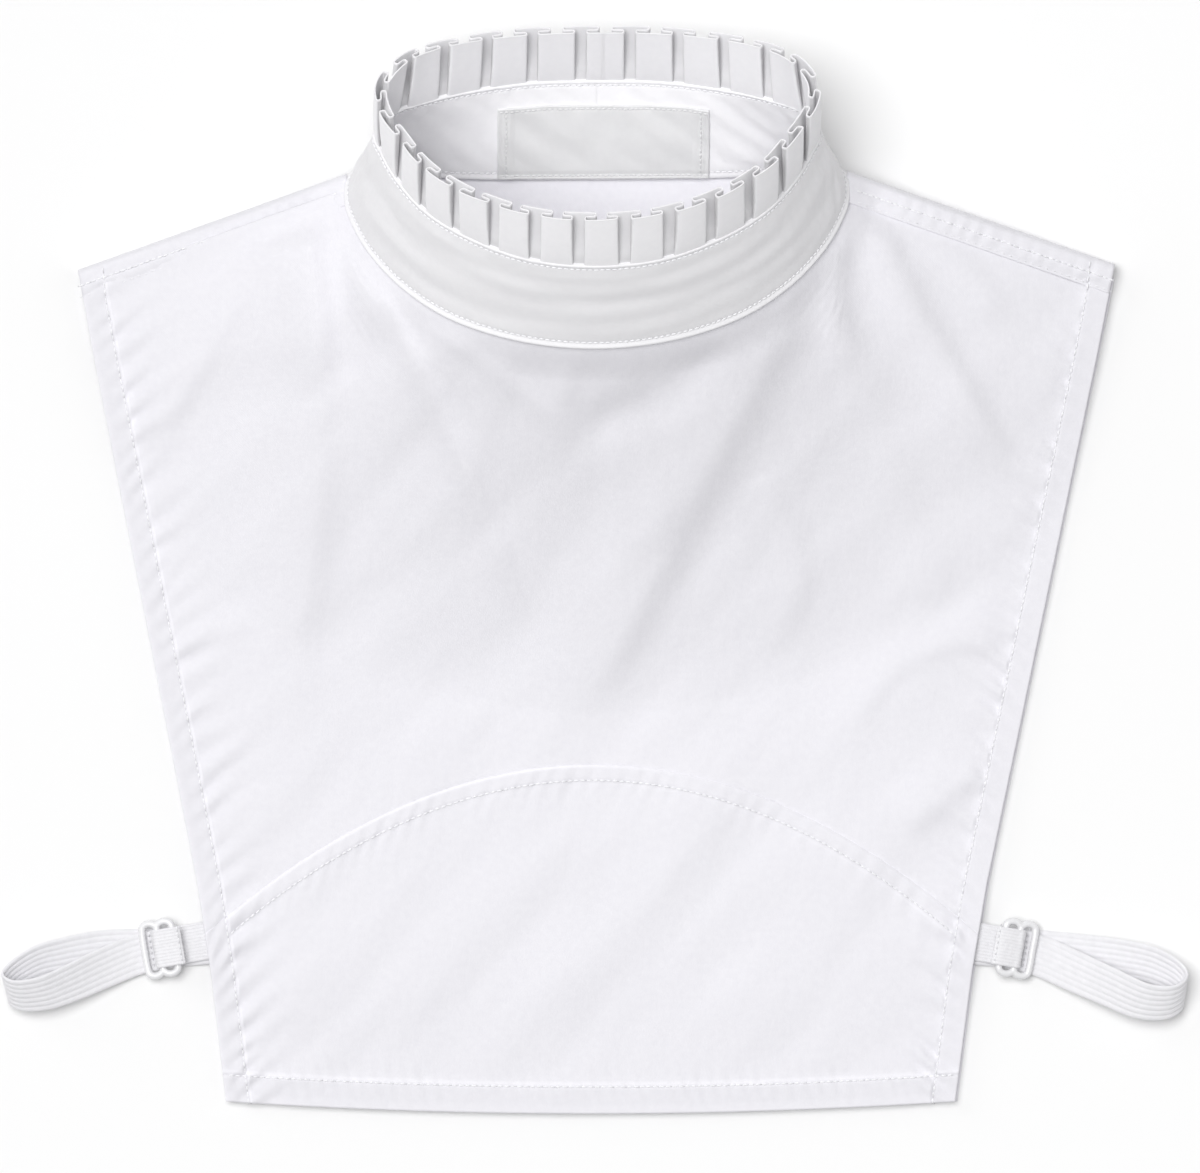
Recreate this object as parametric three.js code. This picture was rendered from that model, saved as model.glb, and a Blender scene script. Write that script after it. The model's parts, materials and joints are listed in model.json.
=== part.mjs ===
// A dickey: a white cotton shirt front with a standing, box-pleated collar, lying flat on its back panel.
// Millimetres. +X is to the right of the front as seen from above, +Y runs from the hem to the collar's back,
// +Z is up, and z = 0 is the surface that the dickey lies on. The origin is under the middle of the whole.
import * as THREE from 'three';

// Cloth and clearances
const CLOTH = 1.0; // wall of one panel of cloth
const GAP = 0.3; // clearance between neighbouring pieces
const SEAM_GAP = 0.5; // and between the layers of a shoulder seam, whose curved faces are cut into facets
const HEM_WIDTH = 7.5; // the turned edge of the panels
const HEM_EXTRA = 0.6; // what the turned edge adds to a panel's wall
const HEM_START = 4; // and how far below the shoulder's seam it has its full thickness
const SEAM_LAP = 5.0; // how far the cloth under a seam runs on below the piece that covers it

// Body panels
const HEM_Y = -170.2; // lowest point of the hem, on the centre line
const HEM_LIFT = 3.8; // how much higher the hem's corners are
const ARCH_Y = -60.8; // crown of the curved seam
const ARCH_DROP = 47.2; // fall of the curved seam from its crown to ARCH_HALF
const ARCH_HALF = 114;
const BACK_SHIFT = 0.7; // the back panel shows this far past the front along the right edge
const FRONT_UPPER_ROWS = 13; // rows of points down each panel
const FRONT_LOWER_ROWS = 7;
const NECK_CROWDING = 1.25; // above 1, the front's rows stand closer together near the neck
const backRows = [0, 0.03, 0.07, 0.12, 0.19, 0.28, 0.4, 0.6, 0.8, 1]; // the back's, as shares of its length

// The side edge of the panels: half the width of the front at each height
const sideEdge = [
  { y: 95, half: 162.5 },
  { y: 67, half: 157.2 },
  { y: -98, half: 123.8 },
  { y: -125, half: 119.4 },
  { y: -172, half: 113.6 },
];

// The shoulder, a straight fold from the collar to the outer corner
const SHOULDER_NECK_X = 80.6;
const SHOULDER_NECK_Y = 124.0;
const SHOULDER_END_X = 162.3;
const SHOULDER_END_Y = 95.2;
const STRIP_FRONT = 9.4; // width of the shoulder strip, from the fold to its front seam
const STRIP_BACK = 9.4;
const STRIP_MIDDLE = 6; // rows of the strip between its seams and its fold
const STRIP_INNER = 3;
const STRIP_FOLD_DEPTH = 2.4; // how far the round of the fold reaches in
const stripFoldAngles = [60, 20, -20, -60];
const SHOULDER_STATIONS = 9;
const SHOULDER_CROWDING = 1.4; // above 1, the stations stand closer together near the collar

// Half of the collar, from the middle of the back round one side to the middle of the front:
// the neck seam at the band's foot and the top seam that the ruffle rises from, matched row by row
const collarSections = [
  { neckX: 0.0, neckY: 122.5, neckZ: 1.9, topX: 0.0, topY: 152.3, topZ: 16.1 },
  { neckX: 21.8, neckY: 122.6, neckZ: 1.9, topX: 19.3, topY: 151.9, topZ: 17.0 },
  { neckX: 43.5, neckY: 123.1, neckZ: 2.6, topX: 38.0, topY: 149.6, topZ: 21.5 },
  { neckX: 62.8, neckY: 124.6, neckZ: 6.4, topX: 53.4, topY: 146.4, topZ: 29.4 },
  { neckX: 76.6, neckY: 123.4, neckZ: 13.1, topX: 64.7, topY: 142.8, topZ: 37.0 },
  { neckX: 77.9, neckY: 115.4, neckZ: 18.4, topX: 69.0, topY: 136.9, topZ: 41.8 },
  { neckX: 75.5, neckY: 108.1, neckZ: 24.5, topX: 66.4, topY: 130.4, topZ: 47.1 },
  { neckX: 70.0, neckY: 99.0, neckZ: 32.6, topX: 61.7, topY: 122.4, topZ: 54.4 },
  { neckX: 59.7, neckY: 88.3, neckZ: 42.3, topX: 53.0, topY: 112.8, topZ: 63.5 },
  { neckX: 45.0, neckY: 78.8, neckZ: 51.2, topX: 39.6, topY: 104.5, topZ: 71.3 },
  { neckX: 23.5, neckY: 71.9, neckZ: 57.7, topX: 20.9, topY: 97.6, topZ: 78.2 },
  { neckX: 0.0, neckY: 69.5, neckZ: 60.0, topX: 0.0, topY: 95.4, topZ: 80.4 },
];

// The band's wall: distance up from the foot and thickness to each side of the middle
const bandProfile = [
  { up: 0.0, out: 0.9, in: 0.7 },
  { up: 1.2, out: 1.6, in: 1.0 },
  { up: 3.0, out: 1.0, in: 1.0 },
  { up: 16.5, out: 1.3, in: 0.7 },
  { up: 31.6, out: 1.0, in: 1.0 },
  { up: 33.0, out: 0.7, in: 0.7 },
];
const BAND_HEIGHT = 33;
const BAND_STEPS = 72;

// The panels' edges at the neck. The front's passes outside the rolled seam, by less where the seam stands
// high, and the back's passes inside it, where the band leans away. Stretches are shares of the ring.
const NECK_CLEAR_SIDE = 2.0;
const NECK_CLEAR_FRONT = 1.2;
const NECK_CLEAR_FROM_Z = 25;
const NECK_CLEAR_RISE = 30;
const NECK_CLEAR_BACK = 1.0;
const FRONT_NECK_START = 0.2;
const FRONT_NECK_POINTS = 10;
const BACK_NECK_START = 0.17;
const BACK_NECK_POINTS = 7;

// Ruffle
const PLEATS = 24;
const RUFFLE_HEIGHT = 19;
const PLEAT_FACE = 10.3; // width of the outer face of a box pleat
const PLEAT_BACK = 11.5; // width of the face behind, which passes under its neighbours' edges
const PLEAT_LAYER = CLOTH + GAP; // spacing of the three layers of a folded pleat
const PLEAT_FLARE = 1.3; // how much the layers open at the top edge

// How the front falls from the standing collar to the surface
const FLAT_HEIGHT = 2.9; // underside of the front panel where it lies low
const PUFF = 1.6; // how much the middle of the front stands up between its hems
const EDGE_FADE = 40; // the puff and the folds grow to their full height this far in from the edges
const FALL_POWER = 1.6;
const FALL_REACH_FRONT = 120; // length of the fall below the middle of the collar
const FALL_REACH_SIDE = 84; // and along the shoulders
const NECK_BLUR = 10; // how far along the seam its height is evened out
const NECK_BLEND = 22; // and how far from the seam this is complete
const NECK_FALL_START = 0.17; // the stretch of the ring that the front falls from, as a share from the back
const NECK_SAMPLES = 64;
const BACK_FALL_REACH = 52; // the back panel rises to the neck's corners from this far away
const BACK_FALL_POWER = 3.2;
const BACK_CORNER_DROP = 3.2; // and ends this far below them
const OVER_STRIP_END = 26.4; // distance from the shoulder's fold where the back starts to rise over the strip
const OVER_STRIP_RUN = 13; // and the length of that rise
const OVER_STRIP_X = 60; // the same rise across, from the collar outwards
const OVER_STRIP_WIDTH = 16;
const STRAP_LIFT = 1.8; // the front's edge stands this much higher over each strap
const STRAP_Y = -117;
const STRAP_SPREAD = 16; // how far along the edge this lift fades

// Main folds of the front, each a soft ridge (height above 0) or valley along a line. A fold fades in over
// FOLD_START of its length and out over FOLD_END, both from FOLD_OVERRUN beyond its ends.
const FOLD_OVERRUN = 0.15;
const FOLD_START = 0.35;
const FOLD_END = 0.45;
const frontFolds = [
  { name: 'valley to the left shoulder', x1: -95, y1: 103, x2: -140, y2: 26, width: 12, height: -1.7 },
  { name: 'ridge beside it', x1: -76, y1: 104, x2: -112, y2: 20, width: 10, height: 1.4 },
  { name: 'valley from the left of the collar', x1: -84, y1: 104, x2: -88, y2: -46, width: 8, height: -1.1 },
  { name: 'left ridge of the V', x1: -73, y1: 102, x2: -21, y2: -18, width: 10, height: 1.8 },
  { name: 'left valley of the V', x1: -51, y1: 78, x2: -4, y2: 40, width: 7, height: -1.4 },
  { name: 'right valley of the small V', x1: 48, y1: 75, x2: -4, y2: 40, width: 7, height: -1.4 },
  { name: 'right ridge of the V', x1: 56, y1: 75, x2: 7, y2: -9, width: 9, height: 1.8 },
  { name: 'right valley of the V', x1: 75, y1: 98, x2: -2, y2: -54, width: 9, height: -1.8 },
  { name: 'valley from the right of the collar', x1: 80, y1: 104, x2: 99, y2: 19, width: 8, height: -1.1 },
  { name: 'valley to the right shoulder', x1: 90, y1: 106, x2: 136, y2: 24, width: 12, height: -1.7 },
  { name: 'ridge above the curved seam', x1: 40, y1: 0, x2: -30, y2: -60, width: 12, height: 1.2 },
  { name: 'valley across the lower front', x1: 70, y1: -92, x2: -35, y2: -155, width: 10, height: -0.9 },
  { name: 'ridge across the lower front', x1: 20, y1: -78, x2: -75, y2: -135, width: 10, height: 1.0 },
];

// Label
const LABEL_WIDTH = 67;
const LABEL_HEIGHT = 24;
const LABEL_FOOT = 0.9; // distance from the band's foot to the label's lower edge
const LABEL_X = 2;
const LABEL_WALL = 1.0;
const LABEL_COLUMNS = 11;
const LABEL_ROWS = 4;
const LABEL_BAND_WALL = 0.8; // least half thickness of the band that the label is laid on

// Straps
const ELASTIC_WIDTH = 12.7;
const ELASTIC_WALL = 1.0;

// Centre line of each loop: out along the surface from the back panel, round the bight, and back on top.
// lean turns the elastic's width away from +Y, towards the strap's outer end, in degrees.
const loopRows = {
  left: [
    { out: 109.0, y: -116.6, z: 1.8, lean: 8 },
    { out: 122.5, y: -117.2, z: 1.8, lean: 8 },
    { out: 130.0, y: -117.9, z: 0.8, lean: 9 },
    { out: 139.0, y: -118.5, z: 0.55, lean: 10 },
    { out: 152.5, y: -119.2, z: 0.55, lean: 8 },
    { out: 165.0, y: -121.4, z: 0.6, lean: 10 },
    { out: 175.0, y: -124.6, z: 1.0, lean: 12 },
    { out: 182.0, y: -128.2, z: 3.2, lean: 14 },
    { out: 184.3, y: -130.4, z: 6.8, lean: 14 },
    { out: 181.4, y: -131.8, z: 10.2, lean: 15 },
    { out: 173.0, y: -131.6, z: 11.2, lean: 18 },
    { out: 164.0, y: -128.8, z: 9.0, lean: 19 },
    { out: 152.6, y: -124.4, z: 4.8, lean: 17 },
    { out: 143.0, y: -120.6, z: 2.2, lean: 13 },
    { out: 136.0, y: -118.8, z: 1.85, lean: 10 },
    { out: 129.5, y: -117.9, z: 1.85, lean: 9 },
  ],
  right: [
    { out: 109.0, y: -116.9, z: 1.8, lean: 8 },
    { out: 122.5, y: -117.4, z: 1.8, lean: 8 },
    { out: 130.0, y: -118.1, z: 0.8, lean: 9 },
    { out: 139.0, y: -118.9, z: 0.55, lean: 10 },
    { out: 152.5, y: -120.6, z: 0.55, lean: 9 },
    { out: 165.0, y: -122.4, z: 0.6, lean: 10 },
    { out: 175.0, y: -125.0, z: 1.0, lean: 11 },
    { out: 182.0, y: -128.6, z: 3.2, lean: 9 },
    { out: 184.4, y: -131.4, z: 6.8, lean: 8 },
    { out: 181.6, y: -134.4, z: 10.2, lean: 12 },
    { out: 172.0, y: -134.4, z: 11.2, lean: 20 },
    { out: 160.0, y: -129.6, z: 8.4, lean: 24 },
    { out: 149.4, y: -124.9, z: 4.4, lean: 22 },
    { out: 142.0, y: -121.4, z: 2.2, lean: 16 },
    { out: 135.0, y: -119.2, z: 1.85, lean: 11 },
    { out: 128.5, y: -118.2, z: 1.85, lean: 9 },
  ],
};

// Slider, a flat figure of eight with a middle bar
const SLIDER_WIDTH = 11.8;
const SLIDER_LENGTH = 18.4;
const SLIDER_WALL = 1.75;
const SLIDER_ROUND = 3.4; // radius of the four outer corners, which meet in a notch at the middle
const SLIDER_BEVEL = 0.5;
const SLIDER_SLOT_ROUND = 1.2;
const SLIDER_X = 134.9;
const SLIDER_Y = -118.5;
const SLIDER_Z = 4.75;
const SLIDER_LEAN = 10; // turn in plan, degrees
const SLIDER_PITCH = 13; // the side towards the panel stands higher, degrees
const TAB_WIDTH = 12.0;
const TAB_LOW_Z = 3.15; // centre of the tab's lower leg
const TAB_ROOT = 23; // how far the tab's lower leg reaches from the slider's middle, under the front panel
const TAB_EDGE = 15; // where the panel's edge covers it
const TAB_DIP = 6; // where the lower leg leaves its level for the middle bar
const TAB_TURN = 1.65; // radius of the turn round the middle bar
const TAB_TURN_START = 1.2; // where the lower leg meets that turn
const TAB_END = 7.2; // end of the sewn-down upper leg

// The upper leg's centre, as distance from the slider's middle and height above it
const tabUpperLeg = [
  { along: 3.2, above: 2.7 },
  { along: 5.6, above: 3.1 },
  { along: TAB_END, above: 2.4 },
];

const radians = THREE.MathUtils.degToRad;
const lerp = THREE.MathUtils.lerp;
const clamp = THREE.MathUtils.clamp;
const vec = (x, y, z) => new THREE.Vector3(x, y, z);
const smooth = (t) => THREE.MathUtils.smoothstep(t, 0, 1);

// Straight-line reading of a table of rows, sorted by a falling key
function readTable(rows, key, value, at) {
  const next = rows.findIndex((row) => row[key] <= at);
  if (next === 0) return rows[0][value];
  if (next < 0) return rows[rows.length - 1][value];
  const low = rows[next];
  const high = rows[next - 1];
  return lerp(low[value], high[value], (at - low[key]) / (high[key] - low[key]));
}

const sideHalf = (y) => readTable(sideEdge, 'y', 'half', y);
const archY = (x) => ARCH_Y - ARCH_DROP * (x / ARCH_HALF) ** 2;
const hemY = (x) => HEM_Y + HEM_LIFT * (x / ARCH_HALF) ** 2;

// A closed solid between two skins, each a grid of points [column][row]. A wrapping solid joins its last
// column to its first, and the other kind has a rim along all four sides.
function shell(outer, inner, wraps) {
  const columns = outer.length;
  const rows = outer[0].length;
  const points = [...outer.flat(), ...inner.flat()];
  const at = (skin, column, row) => (skin * columns + (column % columns)) * rows + row;
  const index = [];
  const quad = (a, b, c, d) => index.push(a, b, c, a, c, d);
  const spans = wraps ? columns : columns - 1;
  for (let c = 0; c < spans; c++) {
    for (let r = 0; r < rows - 1; r++) {
      quad(at(0, c, r), at(0, c + 1, r), at(0, c + 1, r + 1), at(0, c, r + 1));
      quad(at(1, c, r), at(1, c, r + 1), at(1, c + 1, r + 1), at(1, c + 1, r));
    }
    quad(at(0, c, 0), at(1, c, 0), at(1, c + 1, 0), at(0, c + 1, 0));
    quad(at(0, c, rows - 1), at(0, c + 1, rows - 1), at(1, c + 1, rows - 1), at(1, c, rows - 1));
  }
  const last = columns - 1;
  for (let r = 0; r < rows - 1 && !wraps; r++) {
    quad(at(0, 0, r), at(0, 0, r + 1), at(1, 0, r + 1), at(1, 0, r));
    quad(at(0, last, r), at(1, last, r), at(1, last, r + 1), at(0, last, r + 1));
  }
  if (volume(points, index) < 0) index.reverse();
  const geometry = new THREE.BufferGeometry().setFromPoints(points);
  geometry.setIndex(index);
  geometry.computeVertexNormals();
  return geometry;
}

// Signed volume of a closed triangle mesh, positive when its faces point out
function volume(points, index) {
  let sum = 0;
  for (let i = 0; i < index.length; i += 3) {
    const [a, b, c] = [points[index[i]], points[index[i + 1]], points[index[i + 2]]];
    sum += a.dot(b.clone().cross(c)) / 6;
  }
  return sum;
}

// A grid of points, from a function of the column's and the row's share
function grid(columns, rows, point) {
  const made = [];
  for (let c = 0; c < columns; c++) {
    const line = [];
    for (let r = 0; r < rows; r++) line.push(point(c / (columns - 1), r / (rows - 1)));
    made.push(line);
  }
  return made;
}

// The collar's two seams as closed curves: the table's half ring and its mirror image
function collarCurve(x, y, z) {
  const right = collarSections.map((row) => vec(row[x], row[y], row[z]));
  const left = right.slice(1, -1).reverse().map((p) => vec(-p.x, p.y, p.z));
  return new THREE.CatmullRomCurve3([...right, ...left], true, 'centripetal');
}
const neckSeam = collarCurve('neckX', 'neckY', 'neckZ');
const topSeam = collarCurve('topX', 'topY', 'topZ');
topSeam.arcLengthDivisions = 800;

// Directions of the band at a place round the ring: up its wall, along it, and out of the neck
function collarFrame(t) {
  const foot = neckSeam.getPoint(t);
  const top = topSeam.getPoint(t);
  const up = top.clone().sub(foot).normalize();
  const along = topSeam.getTangent(t);
  const out = up.clone().cross(along).normalize();
  return { foot, top, up, along, out, height: top.distanceTo(foot) };
}

function collarBand() {
  const skin = (side, sign) => {
    const made = [];
    for (let i = 0; i < BAND_STEPS; i++) {
      const frame = collarFrame(i / BAND_STEPS);
      made.push(
        bandProfile.map((row) => {
          const climb = (row.up / BAND_HEIGHT) * frame.height;
          const point = frame.foot.clone().addScaledVector(frame.up, climb);
          return point.addScaledVector(frame.out, sign * row[side]);
        }),
      );
    }
    return made;
  };
  return shell(skin('out', 1), skin('in', -1), true);
}

// One box pleat as a path of centre points (distance along the seam, layer above or below the middle):
// the outer face, the turn behind it, the hidden layer, the face behind, and the same back again
function pleatPath(pitch) {
  const turn = PLEAT_LAYER / 2;
  const face = PLEAT_FACE / 2;
  const backStart = (pitch - PLEAT_BACK) / 2;
  const backEnd = (pitch + PLEAT_BACK) / 2;
  const next = pitch - face;
  return [
    [-face + turn, PLEAT_LAYER],
    [0, PLEAT_LAYER],
    [face - turn, PLEAT_LAYER],
    [face, turn],
    [face - turn, 0],
    [backStart + turn, 0],
    [backStart, -turn],
    [backStart + turn, -PLEAT_LAYER],
    [pitch / 2, -PLEAT_LAYER],
    [backEnd - turn, -PLEAT_LAYER],
    [backEnd, -turn],
    [backEnd - turn, 0],
    [next + turn, 0],
    [next, turn],
  ];
}

function ruffle() {
  const girth = topSeam.getLength();
  const pitch = girth / PLEATS;
  const path = [];
  for (let i = 0; i < PLEATS; i++) {
    for (const [along, layer] of pleatPath(pitch)) path.push(new THREE.Vector2(along + i * pitch, layer));
  }
  // The wall's half thickness at each path point, along the mitre of its two neighbours
  const wall = path.map((p, i) => {
    const before = i ? path[i - 1] : path[path.length - 1].clone().sub(new THREE.Vector2(girth, 0));
    const after = i < path.length - 1 ? path[i + 1] : path[0].clone().add(new THREE.Vector2(girth, 0));
    const a = p.clone().sub(before).normalize();
    const b = after.clone().sub(p).normalize();
    const normal = new THREE.Vector2(-(a.y + b.y), a.x + b.x).normalize();
    return normal.multiplyScalar(CLOTH / 2 / (normal.x * -b.y + normal.y * b.x));
  });
  const heights = [GAP, RUFFLE_HEIGHT];
  const skin = (sign) =>
    path.map((p, i) =>
      heights.map((height) => {
        const flare = lerp(1, PLEAT_FLARE, height / RUFFLE_HEIGHT);
        const place = (p.x + sign * wall[i].x) / girth;
        const frame = collarFrame(topSeam.getUtoTmapping(place - Math.floor(place)));
        const layer = p.y * flare + sign * wall[i].y;
        return frame.top.clone().addScaledVector(frame.up, height).addScaledVector(frame.out, layer);
      }),
    );
  return shell(skin(1), skin(-1), true);
}

// The label lies on the inner face of the band at the back
function label() {
  const girth = neckSeam.getLength();
  const skin = (lift) =>
    grid(LABEL_COLUMNS, LABEL_ROWS, (across, upward) => {
      const place = (LABEL_X + (across - 0.5) * LABEL_WIDTH) / girth;
      const frame = collarFrame(neckSeam.getUtoTmapping(place < 0 ? place + 1 : place));
      const climb = LABEL_FOOT + upward * LABEL_HEIGHT;
      const wall = bandInside(climb);
      const point = frame.foot.clone().addScaledVector(frame.up, climb);
      return point.addScaledVector(frame.out, -(wall + lift));
    });
  return shell(skin(GAP), skin(GAP + LABEL_WALL), false);
}

// How far the band's inner face stands from its middle, at a distance up from the foot
function bandInside(climb) {
  const rising = [...bandProfile].reverse();
  return Math.max(readTable(rising, 'up', 'in', climb), LABEL_BAND_WALL);
}

// The front of the neck seam, from one side's corner to the other's, as points
const neckFront = [];
for (let i = 0; i <= NECK_SAMPLES; i++) {
  neckFront.push(neckSeam.getPoint(lerp(NECK_FALL_START, 1 - NECK_FALL_START, i / NECK_SAMPLES)));
}

// Distance in plan from the neck seam, and the seam's height there. Away from the seam the height is that of
// the seam's whole nearer stretch, weighted by distance, so that the cloth falls in one smooth surface.
function nearestNeck(x, y) {
  let distance = Infinity;
  let height = 0;
  let weights = 0;
  let weighted = 0;
  for (let i = 0; i < NECK_SAMPLES; i++) {
    const [a, b] = [neckFront[i], neckFront[i + 1]];
    const [dx, dy] = [b.x - a.x, b.y - a.y];
    const t = clamp(((x - a.x) * dx + (y - a.y) * dy) / (dx * dx + dy * dy), 0, 1);
    const d = Math.hypot(x - a.x - t * dx, y - a.y - t * dy);
    const weight = 1 / (d * d + NECK_BLUR * NECK_BLUR) ** 2;
    weights += weight;
    weighted += weight * lerp(a.z, b.z, t);
    if (d < distance) {
      distance = d;
      height = lerp(a.z, b.z, t);
    }
  }
  return { distance, height: lerp(height, weighted / weights, smooth(distance / NECK_BLEND)) };
}

function foldHeight(x, y) {
  let sum = 0;
  for (const fold of frontFolds) {
    const [dx, dy] = [fold.x2 - fold.x1, fold.y2 - fold.y1];
    const length = Math.hypot(dx, dy);
    const t = ((x - fold.x1) * dx + (y - fold.y1) * dy) / (length * length);
    const off = ((x - fold.x1) * dy - (y - fold.y1) * dx) / length / fold.width;
    const ends = smooth((t + FOLD_OVERRUN) / FOLD_START) * smooth((1 + FOLD_OVERRUN - t) / FOLD_END);
    sum += fold.height * ends * Math.exp(-off * off);
  }
  return sum;
}

// Underside of the front panel above the surface
function frontUnderside(x, y) {
  const near = nearestNeck(x, y);
  const neckLow = collarSections[4].neckZ;
  const neckHigh = collarSections[collarSections.length - 1].neckZ;
  const frontness = clamp((near.height - neckLow) / (neckHigh - neckLow), 0, 1);
  const reach = lerp(FALL_REACH_SIDE, FALL_REACH_FRONT, frontness);
  const fall = clamp(1 - near.distance / reach, 0, 1) ** FALL_POWER;
  const edge = smooth((sideHalf(y) - Math.abs(x)) / EDGE_FADE);
  const hem = smooth((y - hemY(x)) / EDGE_FADE);
  const shoulder = smooth(shoulderDistance(x, y) / EDGE_FADE);
  const inside = edge * hem * shoulder;
  const strap = STRAP_LIFT * Math.exp(-(((y - STRAP_Y) / STRAP_SPREAD) ** 2)) * (1 - edge);
  const low = FLAT_HEIGHT + PUFF * inside + strap;
  return low + (near.height - CLOTH - low) * fall + foldHeight(x, y) * inside;
}

// Distance in plan from the shoulder's fold line, positive towards the hem
const shoulderRun = new THREE.Vector2(SHOULDER_END_X - SHOULDER_NECK_X, SHOULDER_END_Y - SHOULDER_NECK_Y);
shoulderRun.normalize();
function shoulderDistance(x, y) {
  return -((y - SHOULDER_NECK_Y) * shoulderRun.x - (Math.abs(x) - SHOULDER_NECK_X) * shoulderRun.y);
}

// Underside of the back panel: flat, but for the rise to the neck's two corners and over the shoulder strips
function backUnderside(x, y) {
  const corner = collarSections[4];
  const distance = Math.hypot(Math.abs(x) - corner.neckX, y - corner.neckY);
  const rise = clamp(1 - distance / BACK_FALL_REACH, 0, 1) ** BACK_FALL_POWER;
  const nearFold = smooth((OVER_STRIP_END - shoulderDistance(x, y)) / OVER_STRIP_RUN);
  const outward = smooth((Math.abs(x) - OVER_STRIP_X) / OVER_STRIP_WIDTH);
  return (corner.neckZ - BACK_CORNER_DROP) * rise + (CLOTH + SEAM_GAP) * nearFold * outward;
}

// Place in plan on the right shoulder: station counted from the collar to the side edge, closer together near
// the collar, and distance from the fold
function shoulderPlace(station, tuck) {
  const share = (station / (SHOULDER_STATIONS - 1)) ** SHOULDER_CROWDING;
  const drop = tuck / shoulderRun.x;
  const x = lerp(SHOULDER_NECK_X, sideHalf(SHOULDER_END_Y - drop), share);
  return [x, SHOULDER_NECK_Y + ((x - SHOULDER_NECK_X) * shoulderRun.y) / shoulderRun.x - drop];
}

// Places in plan along the top edge of a panel, from the left side to the right: under the shoulder strips,
// and round the neck seam, by its front half for the front panel and by its back half for the back panel.
function panelTop(neckPoints, tuck) {
  const shoulder = [];
  for (let i = SHOULDER_STATIONS - 1; i >= 0; i--) shoulder.push(shoulderPlace(i, tuck));
  const mirrored = ([x, y]) => [-x, y];
  const left = [...shoulder, ...neckPoints].map(mirrored);
  const right = [...shoulder, ...neckPoints].reverse();
  return neckPoints[neckPoints.length - 1][0] === 0 ? [...left, ...right.slice(1)] : [...left, ...right];
}

// Points of the neck seam in plan, moved out of the band's wall, for the given stretch of the ring
function neckEdge(from, to, count, clear) {
  const made = [];
  for (let i = 0; i < count; i++) {
    const t = lerp(from, to, i / (count - 1));
    const point = neckSeam.getPoint(t);
    const run = neckSeam.getTangent(t);
    const outward = new THREE.Vector2(-run.y, run.x).normalize().multiplyScalar(clear(point));
    made.push([Math.max(point.x + outward.x, 0), point.y + outward.y]);
  }
  return made;
}

const frontClear = (point) =>
  lerp(NECK_CLEAR_SIDE, NECK_CLEAR_FRONT, smooth((point.z - NECK_CLEAR_FROM_Z) / NECK_CLEAR_RISE));
const backClear = () => -NECK_CLEAR_BACK;

// A cloth panel between a top edge and a lower edge, given as matched lists of places in plan
function panel(topEdge, lowEdge, rows, underside, wall, easing) {
  const skin = (lift) =>
    topEdge.map(([x1, y1], c) => {
      const [x2, y2] = lowEdge[c];
      const line = [];
      for (let r = 0; r < rows; r++) {
        const t = easing(r / (rows - 1));
        const y = lerp(y1, y2, t);
        const straight = lerp(x1, x2, t);
        const fromSide = Math.min(c, topEdge.length - 1 - c);
        const x = fromSide < 2 ? Math.sign(straight) * (sideHalf(y) - fromSide * HEM_WIDTH) : straight;
        line.push(vec(x, y, underside(x, y) + (lift ? wall(x, y) : 0)));
      }
      return line;
    });
  return shell(skin(true), skin(false), false);
}

// A panel's wall: the cloth, and the turned edge along the sides and the hem
function hemmedWall(x, y) {
  const side = sideHalf(y) - Math.abs(x);
  const low = y - hemY(x);
  const below = smooth((shoulderDistance(x, y) - STRIP_FRONT) / HEM_START);
  const turned = Math.min(side, low) < HEM_WIDTH + GAP ? 1 : 0;
  return CLOTH + HEM_EXTRA * turned * below;
}

// A panel's lower edge, matched to its top edge: two columns at each side bound the side hem, and the others
// keep their share of the width
function acrossEdge(topEdge, yAt) {
  const widest = Math.abs(topEdge[0][0]);
  let half = sideHalf(HEM_Y);
  for (let i = 0; i < 4; i++) half = sideHalf(yAt(half));
  return topEdge.map(([x], c) => {
    const fromSide = Math.min(c, topEdge.length - 1 - c);
    const place = fromSide < 2 ? Math.sign(x) * (half - fromSide * HEM_WIDTH) : (x / widest) * half;
    return [place, yAt(place)];
  });
}

const frontNeck = neckEdge(FRONT_NECK_START, 0.5, FRONT_NECK_POINTS, frontClear);
const frontTop = panelTop(frontNeck, STRIP_FRONT - SEAM_LAP);
const archEdge = acrossEdge(frontTop, archY);

function frontUpperPanel() {
  return panel(frontTop, archEdge, FRONT_UPPER_ROWS, frontUnderside, hemmedWall, (t) => t ** NECK_CROWDING);
}

function frontLowerPanel() {
  const top = archEdge.map(([x, y]) => [x, y - GAP]);
  return panel(top, acrossEdge(top, hemY), FRONT_LOWER_ROWS, frontUnderside, hemmedWall, (t) => t);
}

function backPanel() {
  const top = panelTop(neckEdge(BACK_NECK_START, 0, BACK_NECK_POINTS, backClear), STRIP_BACK - SEAM_LAP);
  const low = acrossEdge(top, hemY);
  const spacing = (t) => backRows[Math.round(t * (backRows.length - 1))];
  const geometry = panel(top, low, backRows.length, backUnderside, () => CLOTH, spacing);
  geometry.translate(BACK_SHIFT, 0, 0);
  return geometry;
}

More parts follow.
